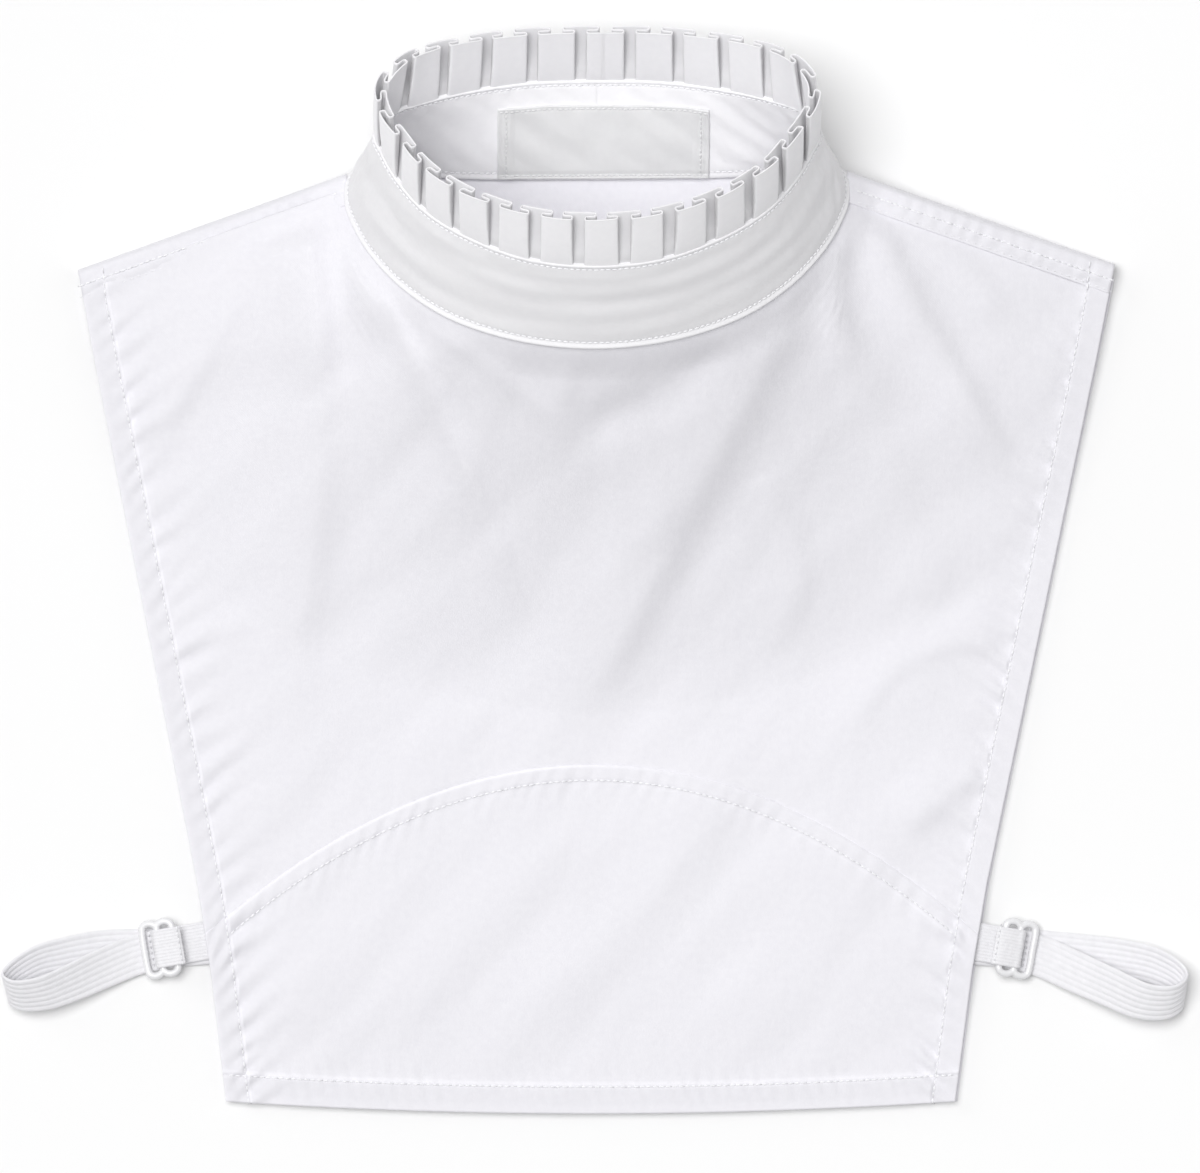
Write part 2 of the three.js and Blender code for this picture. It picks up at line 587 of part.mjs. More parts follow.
// The strip over a shoulder: from its back edge under the back panel, round the fold, to its front edge
function shoulderStrip(side) {
  const skin = (inset) => {
    const made = [];
    for (let i = 0; i < SHOULDER_STATIONS; i++) {
      const place = (tuck) => shoulderPlace(i, tuck);
      const top = (tuck) => frontUnderside(...place(tuck)) + 2 * CLOTH + SEAM_GAP;
      const low = (tuck) => Math.max(backUnderside(...place(tuck)) - SEAM_GAP - CLOTH, 0);
      const fold = (top(STRIP_INNER) - low(STRIP_INNER)) / 2;
      const middle = (top(STRIP_INNER) + low(STRIP_INNER)) / 2;
      const depth = Math.min(fold, STRIP_FOLD_DEPTH);
      const line = [];
      const put = (tuck, z) => line.push(vec(side * place(tuck)[0], place(tuck)[1], z));
      for (const tuck of [STRIP_FRONT, STRIP_MIDDLE, STRIP_INNER]) put(tuck, top(tuck) - inset);
      for (const angle of stripFoldAngles) {
        const [c, s] = [Math.cos(radians(angle)), Math.sin(radians(angle))];
        put(depth - (depth - inset) * c, middle + (fold - inset) * s);
      }
      for (const tuck of [STRIP_INNER, STRIP_MIDDLE, STRIP_BACK]) put(tuck, low(tuck) + inset);
      made.push(line);
    }
    return made;
  };
  return shell(skin(0), skin(CLOTH), false);
}

// An elastic ribbon along centre points, each with the direction of its width
function ribbon(stations, width, wall) {
  const skin = (sign) =>
    stations.map(({ point, across }, i) => {
      const before = stations[Math.max(i - 1, 0)].point;
      const after = stations[Math.min(i + 1, stations.length - 1)].point;
      const run = after.clone().sub(before);
      const normal = run.cross(across).normalize();
      const middle = point.clone().addScaledVector(normal, (sign * wall) / 2);
      return [-0.5, 0, 0.5].map((share) => middle.clone().addScaledVector(across, share * width));
    });
  return shell(skin(1), skin(-1), false);
}

// The direction of a strap's width: +Y turned by lean towards the strap's outer end
const leaning = (side, lean) => vec(side * Math.sin(radians(lean)), Math.cos(radians(lean)), 0);

function strapLoop(side, rows) {
  const line = new THREE.CatmullRomCurve3(
    rows.map((row) => vec(side * row.out, row.y, row.z)),
    false,
    'centripetal',
  );
  const steps = 2 * (rows.length - 1);
  const stations = [];
  for (let i = 0; i <= steps; i++) {
    const at = i / 2;
    const [a, b] = [rows[Math.floor(at)], rows[Math.ceil(at)]];
    const lean = lerp(a.lean, b.lean, at - Math.floor(at));
    stations.push({ point: line.getPoint(i / steps), across: leaning(side, lean) });
  }
  return ribbon(stations, ELASTIC_WIDTH, ELASTIC_WALL);
}

// The tab: from under the front panel to the slider, round its middle bar, and back over its inner bar.
// Its path is drawn in the slider's own upright plane: distance towards the panel, and height.
function strapTab(side) {
  const path = new THREE.Path();
  path.moveTo(TAB_ROOT, TAB_LOW_Z);
  path.lineTo(TAB_EDGE, TAB_LOW_Z);
  path.lineTo(TAB_DIP, TAB_LOW_Z);
  path.lineTo(TAB_TURN_START, SLIDER_Z - TAB_TURN);
  path.absarc(0, SLIDER_Z, TAB_TURN, radians(270), radians(90), true);
  for (const { along, above } of tabUpperLeg) path.lineTo(along, SLIDER_Z + above);
  const across = leaning(side, SLIDER_LEAN);
  const inward = vec(-side * across.y, side * across.x, 0);
  const centre = vec(side * SLIDER_X, SLIDER_Y, 0);
  const stations = path.getPoints(5).map((p) => ({
    point: centre.clone().addScaledVector(inward, p.x).add(vec(0, 0, p.y)),
    across,
  }));
  return ribbon(stations, TAB_WIDTH, ELASTIC_WALL);
}

// A slot of the slider between two bars
function slot(x1, x2) {
  const half = SLIDER_LENGTH / 2 - SLIDER_WALL;
  const r = SLIDER_SLOT_ROUND;
  const hole = new THREE.Path();
  hole.moveTo(x1, half - r);
  hole.absarc(x1 + r, half - r, r, radians(180), radians(90), true);
  hole.absarc(x2 - r, half - r, r, radians(90), 0, true);
  hole.absarc(x2 - r, r - half, r, 0, radians(-90), true);
  hole.absarc(x1 + r, r - half, r, radians(-90), radians(-180), true);
  return hole;
}

function slider() {
  const centreX = SLIDER_WIDTH / 2 - SLIDER_ROUND;
  const centreY = SLIDER_LENGTH / 2 - SLIDER_ROUND;
  const notch = Math.acos(centreX / SLIDER_ROUND);
  const outline = new THREE.Shape();
  outline.absarc(centreX, centreY, SLIDER_ROUND, 0, Math.PI - notch, false);
  outline.absarc(-centreX, centreY, SLIDER_ROUND, notch, Math.PI, false);
  outline.absarc(-centreX, -centreY, SLIDER_ROUND, Math.PI, 2 * Math.PI - notch, false);
  outline.absarc(centreX, -centreY, SLIDER_ROUND, Math.PI + notch, 2 * Math.PI, false);
  const inner = SLIDER_WIDTH / 2 - SLIDER_WALL;
  const bar = SLIDER_WALL / 2;
  outline.holes.push(slot(-inner, -bar), slot(bar, inner));
  const geometry = new THREE.ExtrudeGeometry(outline, {
    depth: SLIDER_WALL - 2 * SLIDER_BEVEL,
    bevelThickness: SLIDER_BEVEL,
    bevelSize: SLIDER_BEVEL,
    bevelOffset: -SLIDER_BEVEL,
    bevelSegments: 1,
    curveSegments: 3,
  });
  geometry.translate(0, 0, SLIDER_BEVEL - SLIDER_WALL / 2);
  return geometry;
}

// Materials
const cotton = new THREE.MeshStandardMaterial({ color: 0xf2f2f4, roughness: 0.85, metalness: 0 });
const bandCotton = new THREE.MeshStandardMaterial({ color: 0xf4f4f6, roughness: 0.8, metalness: 0 });
const satin = new THREE.MeshStandardMaterial({ color: 0xe4e4e6, roughness: 0.45, metalness: 0 });
const elastic = new THREE.MeshStandardMaterial({ color: 0xeeeef0, roughness: 0.75, metalness: 0 });
const plastic = new THREE.MeshStandardMaterial({ color: 0xf3f3f5, roughness: 0.25, metalness: 0 });

const dickey = new THREE.Group();
const body = new THREE.Group();
const collar = new THREE.Group();
dickey.add(body, collar);

function add(group, name, geometry, material) {
  const mesh = new THREE.Mesh(geometry, material);
  mesh.name = name;
  group.add(mesh);
  return mesh;
}

add(body, 'back_panel', backPanel(), cotton);
add(body, 'front_upper_panel', frontUpperPanel(), cotton);
add(body, 'front_lower_panel', frontLowerPanel(), cotton);
add(collar, 'collar_band', collarBand(), bandCotton);
add(collar, 'ruffle', ruffle(), bandCotton);
add(collar, 'label', label(), satin);

for (const [name, side] of [['left', -1], ['right', 1]]) {
  const strap = new THREE.Group();
  dickey.add(strap);
  add(body, `shoulder_strip_${name}`, shoulderStrip(side), cotton);
  add(strap, `strap_${name}`, strapLoop(side, loopRows[name]), elastic);
  add(strap, `strap_tab_${name}`, strapTab(side), elastic);
  const mesh = add(strap, `slider_${name}`, slider(), plastic);
  mesh.position.set(side * SLIDER_X, SLIDER_Y, SLIDER_Z);
  mesh.rotation.set(0, side * radians(SLIDER_PITCH), -side * radians(SLIDER_LEAN), 'ZYX');
}

export default dickey;
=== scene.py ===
# %% [markdown]
# # A white cotton dickey with a pleated stand collar
#
# The dickey is a false shirt front. It lies on its back panel on a white table and is seen from straight
# above. Every piece is cloth, elastic or moulded plastic, and nearly everything is white, so the likeness
# comes from form: the folds, the seams, the stitches and the soft light across them. The script loads the
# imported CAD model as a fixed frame, and builds each visible piece round it in the same place and size.
#
# All shapes are worked out in millimetres and become metres when a mesh is made.

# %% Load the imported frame
import json
import math

import bpy
import numpy as np
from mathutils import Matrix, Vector

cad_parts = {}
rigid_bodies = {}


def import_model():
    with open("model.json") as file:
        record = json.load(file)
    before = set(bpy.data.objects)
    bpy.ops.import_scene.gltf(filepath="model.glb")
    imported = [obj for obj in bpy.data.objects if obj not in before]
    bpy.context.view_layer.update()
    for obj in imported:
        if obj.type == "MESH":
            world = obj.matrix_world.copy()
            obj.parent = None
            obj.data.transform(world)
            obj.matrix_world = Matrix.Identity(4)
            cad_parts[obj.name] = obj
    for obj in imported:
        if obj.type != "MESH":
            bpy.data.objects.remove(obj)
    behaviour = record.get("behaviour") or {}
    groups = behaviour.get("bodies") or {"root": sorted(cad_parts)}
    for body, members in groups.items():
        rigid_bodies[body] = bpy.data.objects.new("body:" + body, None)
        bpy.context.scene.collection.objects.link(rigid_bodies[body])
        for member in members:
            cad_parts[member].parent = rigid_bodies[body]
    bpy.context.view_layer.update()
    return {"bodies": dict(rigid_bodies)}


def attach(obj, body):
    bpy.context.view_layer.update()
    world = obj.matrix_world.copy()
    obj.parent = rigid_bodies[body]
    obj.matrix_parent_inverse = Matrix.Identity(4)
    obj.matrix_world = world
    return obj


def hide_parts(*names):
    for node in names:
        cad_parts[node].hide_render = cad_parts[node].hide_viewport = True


for thing in list(bpy.data.objects):
    bpy.data.objects.remove(thing)
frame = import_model()
BODY = next(iter(frame["bodies"]))
MM = 0.001

# %% [markdown]
# ## Small tools
#
# Cloth needs a few things again and again: a smooth step, to fade one shape into another; a hill, for a
# ridge or a groove beside a line; random waves that are the same on every run, for wrinkles; and a closed
# shell between two grids of points, because a cloth wall has two faces and a rim. The waves are gradient
# noise, which has no flat spots, so that light slides over it evenly.

# %% Smooth steps, hills and random waves
NOISE_CELLS = 64


def smooth(t):
    """0 up to t = 0, 1 from t = 1 on, and a soft step between them."""
    t = np.clip(t, 0, 1)
    return t * t * (3 - 2 * t)


def hill(off, width):
    """1 on a line, and almost nothing at twice the width away from it."""
    return np.exp(-((off / width) ** 2))


def lerp(a, b, t):
    return a + (b - a) * t


def waves(u, v, seed):
    """Random waves about one unit long, from -1 to 1."""
    u, v = np.broadcast_arrays(np.asarray(u, float), np.asarray(v, float))
    turn = np.random.RandomState(seed).uniform(0, 2 * np.pi, (NOISE_CELLS, NOISE_CELLS))
    i, j = np.floor(u).astype(int), np.floor(v).astype(int)
    x, y = u - i, v - j

    def corner(p, q):
        angle = turn[(i + p) % NOISE_CELLS, (j + q) % NOISE_CELLS]
        return np.cos(angle) * (x - p) + np.sin(angle) * (y - q)

    fade_x, fade_y = (t**3 * (t * (6 * t - 15) + 10) for t in (x, y))
    low = lerp(corner(0, 0), corner(1, 0), fade_x)
    high = lerp(corner(0, 1), corner(1, 1), fade_x)
    return 1.5 * lerp(low, high, fade_y)


test_waves = waves(*np.mgrid[0:20:0.1, 0:20:0.1], 3)
print("waves from", round(float(test_waves.min()), 2), "to", round(float(test_waves.max()), 2))


# %% Closed shells
def quads(a, b, c, d):
    return np.stack([a, b, c, d], -1).reshape(-1, 4)


def shell(outer, inner, wraps=False):
    """Points and four-sided faces of the closed solid between two grids of points, [column, row, xyz]."""
    columns, rows = outer.shape[:2]
    points = np.concatenate([outer.reshape(-1, 3), inner.reshape(-1, 3)])
    index = np.arange(2 * columns * rows).reshape(2, columns, rows)
    if wraps:
        index = np.concatenate([index, index[:, :1]], axis=1)
    o, i = index
    faces = [
        quads(o[:-1, :-1], o[1:, :-1], o[1:, 1:], o[:-1, 1:]),
        quads(i[:-1, :-1], i[:-1, 1:], i[1:, 1:], i[1:, :-1]),
        quads(o[:-1, 0], i[:-1, 0], i[1:, 0], o[1:, 0]),
        quads(o[:-1, -1], o[1:, -1], i[1:, -1], i[:-1, -1]),
    ]
    if not wraps:
        faces.append(quads(o[0, :-1], o[0, 1:], i[0, 1:], i[0, :-1]))
        faces.append(quads(o[-1, :-1], i[-1, :-1], i[-1, 1:], o[-1, 1:]))
    faces = np.concatenate(faces)
    a, b, c, d = (points[faces[:, k]] for k in range(4))
    volume = (a * np.cross(b, c)).sum() + (a * np.cross(c, d)).sum()
    return points, faces if volume > 0 else faces[:, ::-1]


def flat_map(x, y):
    """The place on the flat cloth of each point of a shell's outer face, and then of its inner face."""
    return np.tile(np.stack(np.broadcast_arrays(x, y), -1).reshape(-1, 2), (2, 1))


test_grid = np.stack(np.broadcast_arrays(*np.ogrid[0:2, 0:2, 0:1]), -1).reshape(2, 2, 3)
test_faces = shell(test_grid + (0, 0, 1), test_grid)[1]
print("a shell between two grids of 2 x 2 points has", len(test_faces), "faces")

# %% Objects and the flat-cloth map
CLOTH_UNIT = 100


def put(name, data):
    """A new object in the scene that shows some data."""
    thing = bpy.data.objects.new(name, data)
    bpy.context.scene.collection.objects.link(thing)
    return thing


def read(items, field, width=1, kind=float):
    """One field of all points or corners of a mesh: a number for each, or a row of them."""
    values = np.empty(len(items) * width, kind)
    items.foreach_get(field, values)
    return values.reshape(-1, width) if width > 1 else values


def map_cloth(mesh, place):
    """Writes the mesh's map from each point's place on the flat cloth, one row for each point."""
    corner = read(mesh.loops, "vertex_index", kind=int)
    layer = mesh.uv_layers.get("cloth") or mesh.uv_layers.new(name="cloth")
    layer.data.foreach_set("uv", place[corner].ravel())


print("one unit of the flat-cloth map is", CLOTH_UNIT, "mm")


# %% Meshes
def add_mesh(name, points, faces, cloth=None, edges=(), pressed=None):
    """A mesh object from points in millimetres, each with its place on the flat cloth and its painted tone of
    light and shade.
    """
    mesh = bpy.data.meshes.new(name)
    faces = faces if isinstance(faces, list) else faces.tolist()
    mesh.from_pydata((np.asarray(points) * MM).tolist(), list(edges), faces)
    if cloth is not None:
        map_cloth(mesh, np.asarray(cloth) / CLOTH_UNIT)
    if pressed is not None:
        tones = mesh.attributes.new("pressed", "FLOAT", "POINT")
        tones.data.foreach_set("value", np.asarray(pressed).ravel())
    mesh.polygons.foreach_set("use_smooth", [True] * len(mesh.polygons))
    return put(name, mesh)


def keep_result(piece):
    """Works a piece's modifiers into its mesh and removes them."""
    graph = bpy.context.evaluated_depsgraph_get()
    piece.data = bpy.data.meshes.new_from_object(piece.evaluated_get(graph), depsgraph=graph)
    piece.modifiers.clear()


test_piece = add_mesh("test", [(0, 0, 0), (10, 0, 0), (0, 10, 0)], [[0, 1, 2]])
print("a point at 10 mm is stored at", round(test_piece.data.vertices[1].co.x, 3), "m")
bpy.data.objects.remove(test_piece)


# %% Finished pieces
ASKEW_ACROSS, ASKEW_UP, ASKEW_Y = 0.00704, 0.0056, -0.005
ASKEW_START, ASKEW_RUN = -0.06, 0.15


def lie_askew(piece):
    """Shifts a piece's points by up to a millimetre: the real one lies a little askew on its table."""
    place = read(piece.data.vertices, "co", 3)
    x, y = place[:, 0].copy(), place[:, 1].copy()
    place[:, 0] = x + ASKEW_ACROSS * (y - ASKEW_Y)
    place[:, 1] = y + ASKEW_UP * x * smooth((y - ASKEW_START) / ASKEW_RUN)
    piece.data.vertices.foreach_set("co", place.ravel())
    piece.data.update()


def finish_piece(piece, material, slot, *nodes):
    """Gives a finished piece its material and its body, and hides the CAD nodes it stands for. The slot is
    not used.
    """
    lie_askew(piece)
    piece.data.materials.clear()
    piece.data.materials.append(material)
    if nodes:
        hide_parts(*nodes)
    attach(piece, BODY)
    print(f"{piece.name}: {sum(len(face.vertices) - 2 for face in piece.data.polygons)} triangles")
    return piece


# %% [markdown]
# ## Building trees of nodes
#
# Finishes and Geometry Nodes are both trees of nodes. Built by hand in the editor they are wires and boxes;
# here each node is one call that names its kind, its settings and what goes into its inputs, so that a tree
# reads like a formula. Two short functions do the sums on numbers and on vectors.

# %% Node helpers
def feed(tree, made, **sockets):
    """Sets a node's inputs, each to a value or from the socket that it is linked to.

    A name stands for an input's label with _ for its spaces, and i and a number for its place in the list.
    """
    for key, value in sockets.items():
        by_place = key[0] == "i" and key[1:].isdigit()
        found = made.inputs[int(key[1:]) if by_place else key.replace("_", " ")]
        if isinstance(value, bpy.types.NodeSocket):
            tree.links.new(value, found)
        else:
            found.default_value = value
    return made


def node(tree, kind, settings=(), **sockets):
    """A new node with its settings and its inputs."""
    made = tree.nodes.new(kind)
    for key, value in dict(settings).items():
        setattr(made, key, value)
    return feed(tree, made, **sockets)


test_tree = bpy.data.node_groups.new("test", "ShaderNodeTree")
test_node = node(test_tree, "ShaderNodeMath", {"operation": "ADD"}, i0=1.0, i1=2.0)
print("a node that adds", [socket.default_value for socket in test_node.inputs[:2]])
bpy.data.node_groups.remove(test_tree)


# %% Sums and empty trees
def numbered(values):
    return {f"i{k}": value for k, value in enumerate(values)}


def number_sum(tree, operation, *values):
    """The result of one sum on numbers."""
    return node(tree, "ShaderNodeMath", {"operation": operation}, **numbered(values)).outputs[0]


def vector_sum(tree, operation, *values, **sockets):
    """The result of one sum on vectors."""
    made = node(tree, "ShaderNodeVectorMath", {"operation": operation}, **numbered(values), **sockets)
    return made.outputs[0]


def new_tree(name, kind, inputs, outputs):
    """An empty tree with its inputs, each a label, a kind and a first value, and its outputs."""
    tree = bpy.data.node_groups.new(name, kind)
    for label, socket, value in inputs:
        made = tree.interface.new_socket(name=label, in_out="INPUT", socket_type="NodeSocket" + socket)
        if value is not None:
            made.default_value = value
    for label, socket in outputs:
        tree.interface.new_socket(name=label, in_out="OUTPUT", socket_type="NodeSocket" + socket)
    return tree, tree.nodes.new("NodeGroupInput").outputs, tree.nodes.new("NodeGroupOutput")


print("values by place:", numbered([0.5, 2.0]))


# %% [markdown]
# ## Weave, fuzz and thread
#
# Poplin is a plain weave: fine threads that go over and under each other, about 40 to the centimetre. At
# the distance of the photograph the threads melt into a soft grain, and close up they show. One node group
# makes the weave's height for every woven piece, from the piece's own flat-cloth map, so that the threads
# follow the cloth round its folds. It could be an image, but a group is sharp at any distance and its
# thread count is one number that each material sets for itself.

# %% The weave group
SLUB_SCALE, CREASE_SCALE, CREASE_TURN = 45.0, 16.0, 40


def weave_group():
    """The height and the tone of a plain weave, with thick places in its thread and faint slanted creases."""
    tree, given, result = new_tree(
        "plain weave", "ShaderNodeTree",
        [("Place", "Vector", None), ("Threads per unit", "Float", 400.0),
         ("Slub", "Float", 0.35), ("Rumple", "Float", 0.0)],
        [("Height", "Float"), ("Tone", "Float")],
    )
    parts = node(tree, "ShaderNodeSeparateXYZ", i0=given["Place"]).outputs
    turns = [number_sum(tree, "MULTIPLY", part, given["Threads per unit"]) for part in parts[:2]]
    across, along = (number_sum(tree, "SINE", number_sum(tree, "MULTIPLY", turn, math.pi)) for turn in turns)
    threads = number_sum(tree, "MULTIPLY", number_sum(tree, "MULTIPLY", across, along), 0.5)
    noise = node(tree, "ShaderNodeTexNoise", Vector=given["Place"], Scale=SLUB_SCALE, Detail=3.0).outputs[0]
    uneven = number_sum(tree, "SUBTRACT", noise, 0.5)
    slub = number_sum(tree, "MULTIPLY", uneven, given["Slub"])
    drawn = node(tree, "ShaderNodeMapping", Vector=given["Place"],
                 Rotation=(0, 0, math.radians(CREASE_TURN)), Scale=(1.0, 0.5, 1.0)).outputs[0]
    creases = node(tree, "ShaderNodeTexNoise", Vector=drawn, Scale=CREASE_SCALE, Detail=4.0, Roughness=0.55)
    rumple = number_sum(tree, "MULTIPLY", creases.outputs[0], given["Rumple"])
    height = number_sum(tree, "ADD", number_sum(tree, "ADD", threads, slub), rumple)
    feed(tree, result, Height=height, Tone=number_sum(tree, "ADD", uneven, 0.5))
    return tree


WEAVE = weave_group()
print("group", WEAVE.name, "with", len(WEAVE.nodes), "nodes")

# %% [markdown]
# ## The finishes
#
# The cotton is a slightly cool white, matt, with a faint sheen from its fibres at grazing angles. The band
# and the ruffle are the same cotton, pressed harder. The label is a grey satin ribbon with a soft gloss,
# the elastic a coarser weave, and the sliders glossy white plastic. All woven finishes share the weave
# group; what differs is the colour, the thread count and the gloss, so one function makes them from a row
# of values. Each point may carry a painted tone that makes the cloth a little lighter or darker there:
# painted highlights on pressed ridges and rolled edges, painted shade beside folds, hems and pleats, and
# painted light where thin white cloth lets light through it, on the back and inside the band.

# %% Woven materials
# One unit of painted tone lightens the colour by this share; a negative tone darkens it
PAINTED_LIGHT_GAIN = 0.1
WEAVE_DEPTH = 0.00006


def new_finish(name):
    """A new material with its tree and its shader."""
    material = bpy.data.materials.new(name)
    material.use_nodes = True
    return material, material.node_tree, material.node_tree.nodes["Principled BSDF"]


def woven(name, low, high, roughness, threads, relief, sheen=0.25, slub=0.35, rumple=0.0):
    """A cloth finish: low and high are the tones that its slubs vary between."""
    material, tree, shader = new_finish(name)
    place = node(tree, "ShaderNodeUVMap", {"uv_map": "cloth"}).outputs[0]
    weave = node(tree, "ShaderNodeGroup", {"node_tree": WEAVE}, Place=place, Threads_per_unit=threads,
                 Slub=slub, Rumple=rumple).outputs
    color = node(tree, "ShaderNodeMix", {"data_type": "RGBA"}, i0=weave["Tone"], i6=(*low, 1), i7=(*high, 1))
    # Each point's painted light and shade scales the colour
    pressed = node(tree, "ShaderNodeAttribute", {"attribute_name": "pressed"}).outputs["Fac"]
    lighter = number_sum(tree, "ADD", number_sum(tree, "MULTIPLY", pressed, PAINTED_LIGHT_GAIN), 1.0)
    height = node(tree, "ShaderNodeBump", Height=weave["Height"], Strength=relief, Distance=WEAVE_DEPTH)
    feed(tree, shader, Base_Color=vector_sum(tree, "SCALE", color.outputs[2], Scale=lighter),
         Normal=height.outputs[0], Roughness=roughness, Specular_IOR_Level=0.3, Sheen_Weight=sheen,
         Sheen_Roughness=0.5)
    return material


COTTON = woven("white poplin", (0.762, 0.754, 0.797), (0.822, 0.814, 0.852), 0.82, 380, 0.75, slub=1.1,
               rumple=6.0)
PRESSED = woven("pressed poplin", (0.785, 0.78, 0.8), (0.83, 0.825, 0.84), 0.76, 380, 0.5, slub=0.8,
                rumple=3.0)
THREAD = woven("sewing thread", (0.86, 0.86, 0.88), (0.92, 0.92, 0.94), 0.6, 900, 0.4, slub=0.2)
SATIN = woven("grey satin ribbon", (0.765, 0.765, 0.77), (0.805, 0.805, 0.81), 0.45, 700, 0.35, sheen=0.1)
ELASTIC = woven("ribbed elastic", (0.76, 0.755, 0.78), (0.86, 0.855, 0.88), 0.7, 330, 1.0, slub=1.3)
# A grey finish for painted shade: small dark grains where the thread dives into the cloth, and a line in each
# slider's slot
PAINTED_SHADE = woven("shaded dimple", (0.64, 0.64, 0.66), (0.72, 0.72, 0.74), 0.9, 380, 0.2)
print("finishes", [m.name for m in (COTTON, PRESSED, THREAD, SATIN, ELASTIC, PAINTED_SHADE)])

# %% Moulded plastic
MOULD_SCALE, MOULD_DEPTH = 900.0, 0.00005


def moulded(name, color):
    """Glossy white plastic with the faint waviness of a small moulding."""
    material, tree, shader = new_finish(name)
    place = node(tree, "ShaderNodeTexCoord").outputs["Object"]
    noise = node(tree, "ShaderNodeTexNoise", Vector=place, Scale=MOULD_SCALE).outputs[0]
    gloss = node(tree, "ShaderNodeMapRange", Value=noise, To_Min=0.2, To_Max=0.34).outputs[0]
    height = node(tree, "ShaderNodeBump", Height=noise, Strength=0.15, Distance=MOULD_DEPTH).outputs[0]
    feed(tree, shader, Base_Color=(*color, 1), Coat_Weight=0.5, Coat_Roughness=0.08, Roughness=gloss,
         Normal=height)
    return material


PLASTIC = moulded("glossy white plastic", (0.8, 0.8, 0.815))
print("finish", PLASTIC.name)

# %% [markdown]
# ## The outline of the cloth
#
# The front and the back are cut alike: sloping shoulders, sides that run in towards the hem, a lower hem
# that is nearly straight, and on the front a curved seam like a low arch. These are the same named sizes as
# in the CAD source. Each edge is a short formula or a short table, so that every row of stitches can follow
# it later. One traced polygon would be shorter, but no row of stitches could follow it.

# %% Edges in plan
HEM_WIDTH = 7.5
HEM_Y, HEM_LIFT = -170.2, 3.8
ARCH_Y, ARCH_DROP, ARCH_HALF = -60.8, 47.2, 114.0
SIDE_Y = [-172, -125, -98, 67, 95]
SIDE_HALF = [113.6, 119.4, 123.8, 157.2, 162.5]


def side_half(y):
    return np.interp(y, SIDE_Y, SIDE_HALF)


def arch_y(x):
    return ARCH_Y - ARCH_DROP * (x / ARCH_HALF) ** 2


def hem_y(x):
    return HEM_Y + HEM_LIFT * (x / ARCH_HALF) ** 2


def arch_slant(x):
    """How much longer the curved seam is than its run in x."""
    return np.sqrt(1 + (2 * ARCH_DROP * x / ARCH_HALF**2) ** 2)


def edge_distances(x, y):
    """Distances in from the side edge, up from the hem and square down from the curved seam."""
    return side_half(y) - np.abs(x), y - hem_y(x), (arch_y(x) - y) / arch_slant(x)


print("hem", round(2 * float(side_half(HEM_Y)), 1), "mm wide")

# %% The shoulder's fold
SHOULDER_NECK = np.array([80.6, 124.0])
SHOULDER_END = np.array([162.3, 95.2])
STRIP_WIDTH, SEAM_LAP = 9.4, 5.0
CLOTH_WALL, SEAM_GAP = 1.0, 0.5
SHOULDER_LENGTH = float(np.linalg.norm(SHOULDER_END - SHOULDER_NECK))
shoulder_run = (SHOULDER_END - SHOULDER_NECK) / SHOULDER_LENGTH


def shoulder_distance(x, y):
    """Distance in plan from the shoulder's fold, towards the hem."""
    return (np.abs(x) - SHOULDER_NECK[0]) * shoulder_run[1] - (y - SHOULDER_NECK[1]) * shoulder_run[0]


def shoulder_y(x, tuck):
    """Height in plan of the line that runs beside the shoulder's fold, tuck away from it."""
    slope = shoulder_run[1] / shoulder_run[0]
    return SHOULDER_NECK[1] - tuck / shoulder_run[0] + (np.abs(x) - SHOULDER_NECK[0]) * slope


print("shoulder", round(SHOULDER_LENGTH, 1), "mm long")

# %% [markdown]
# ## The collar's two seams
#
# The stand collar leans back: its foot follows the neck seam, low at the back and high in front, and its
# top seam carries the ruffle. Both are closed curves through the same few stations as in the CAD source. A
# centripetal Catmull-Rom curve passes through every station without loops or overshoot. A Bezier curve
# would pass through them too, but its handles would have to be set by hand.

# %% Stations of the collar
# Each row is x, y and z, from the middle of the back round to the middle of the front. The left half mirrors
# the right one.
COLLAR_NECK = np.array([
    (0.0, 122.5, 1.9), (21.8, 122.6, 1.9), (43.5, 123.1, 2.6), (62.8, 124.6, 6.4), (76.6, 123.4, 13.1),
    (77.9, 115.4, 18.4), (75.5, 108.1, 24.5), (70.0, 99.0, 32.6), (59.7, 88.3, 42.3), (45.0, 78.8, 51.2),
    (23.5, 71.9, 57.7), (0.0, 69.5, 60.0),
])
COLLAR_TOP = np.array([
    (0.0, 153.9, 16.1), (19.3, 153.5, 17.0), (38.0, 151.1, 21.5), (53.4, 147.6, 29.4), (64.7, 143.3, 37.0),
    (69.0, 136.9, 41.8), (66.4, 130.4, 47.1), (61.7, 122.4, 54.4), (53.0, 112.8, 63.5), (39.6, 104.5, 71.3),
    (20.9, 97.6, 78.2), (0.0, 95.4, 80.4),
])
# The ruffle stands more upright than the band: x and y of its top edge
RUFFLE_TOP = np.array([
    (0.0, 169.3), (19.3, 168.9), (37.5, 167.0), (53.0, 163.6), (62.5, 158.6), (67.4, 151.8), (66.5, 144.6),
    (60.7, 136.0), (52.6, 126.6), (39.2, 118.3), (20.8, 112.2), (0.0, 110.3),
])
NECK_CORNER, NECK_FRONT = COLLAR_NECK[4], COLLAR_NECK[-1]
RUFFLE_HEIGHT = 19.0
RING_STEPS = 2200
print("stations", len(COLLAR_NECK), "corner of the neck at", NECK_CORNER, "front of the neck at", NECK_FRONT)


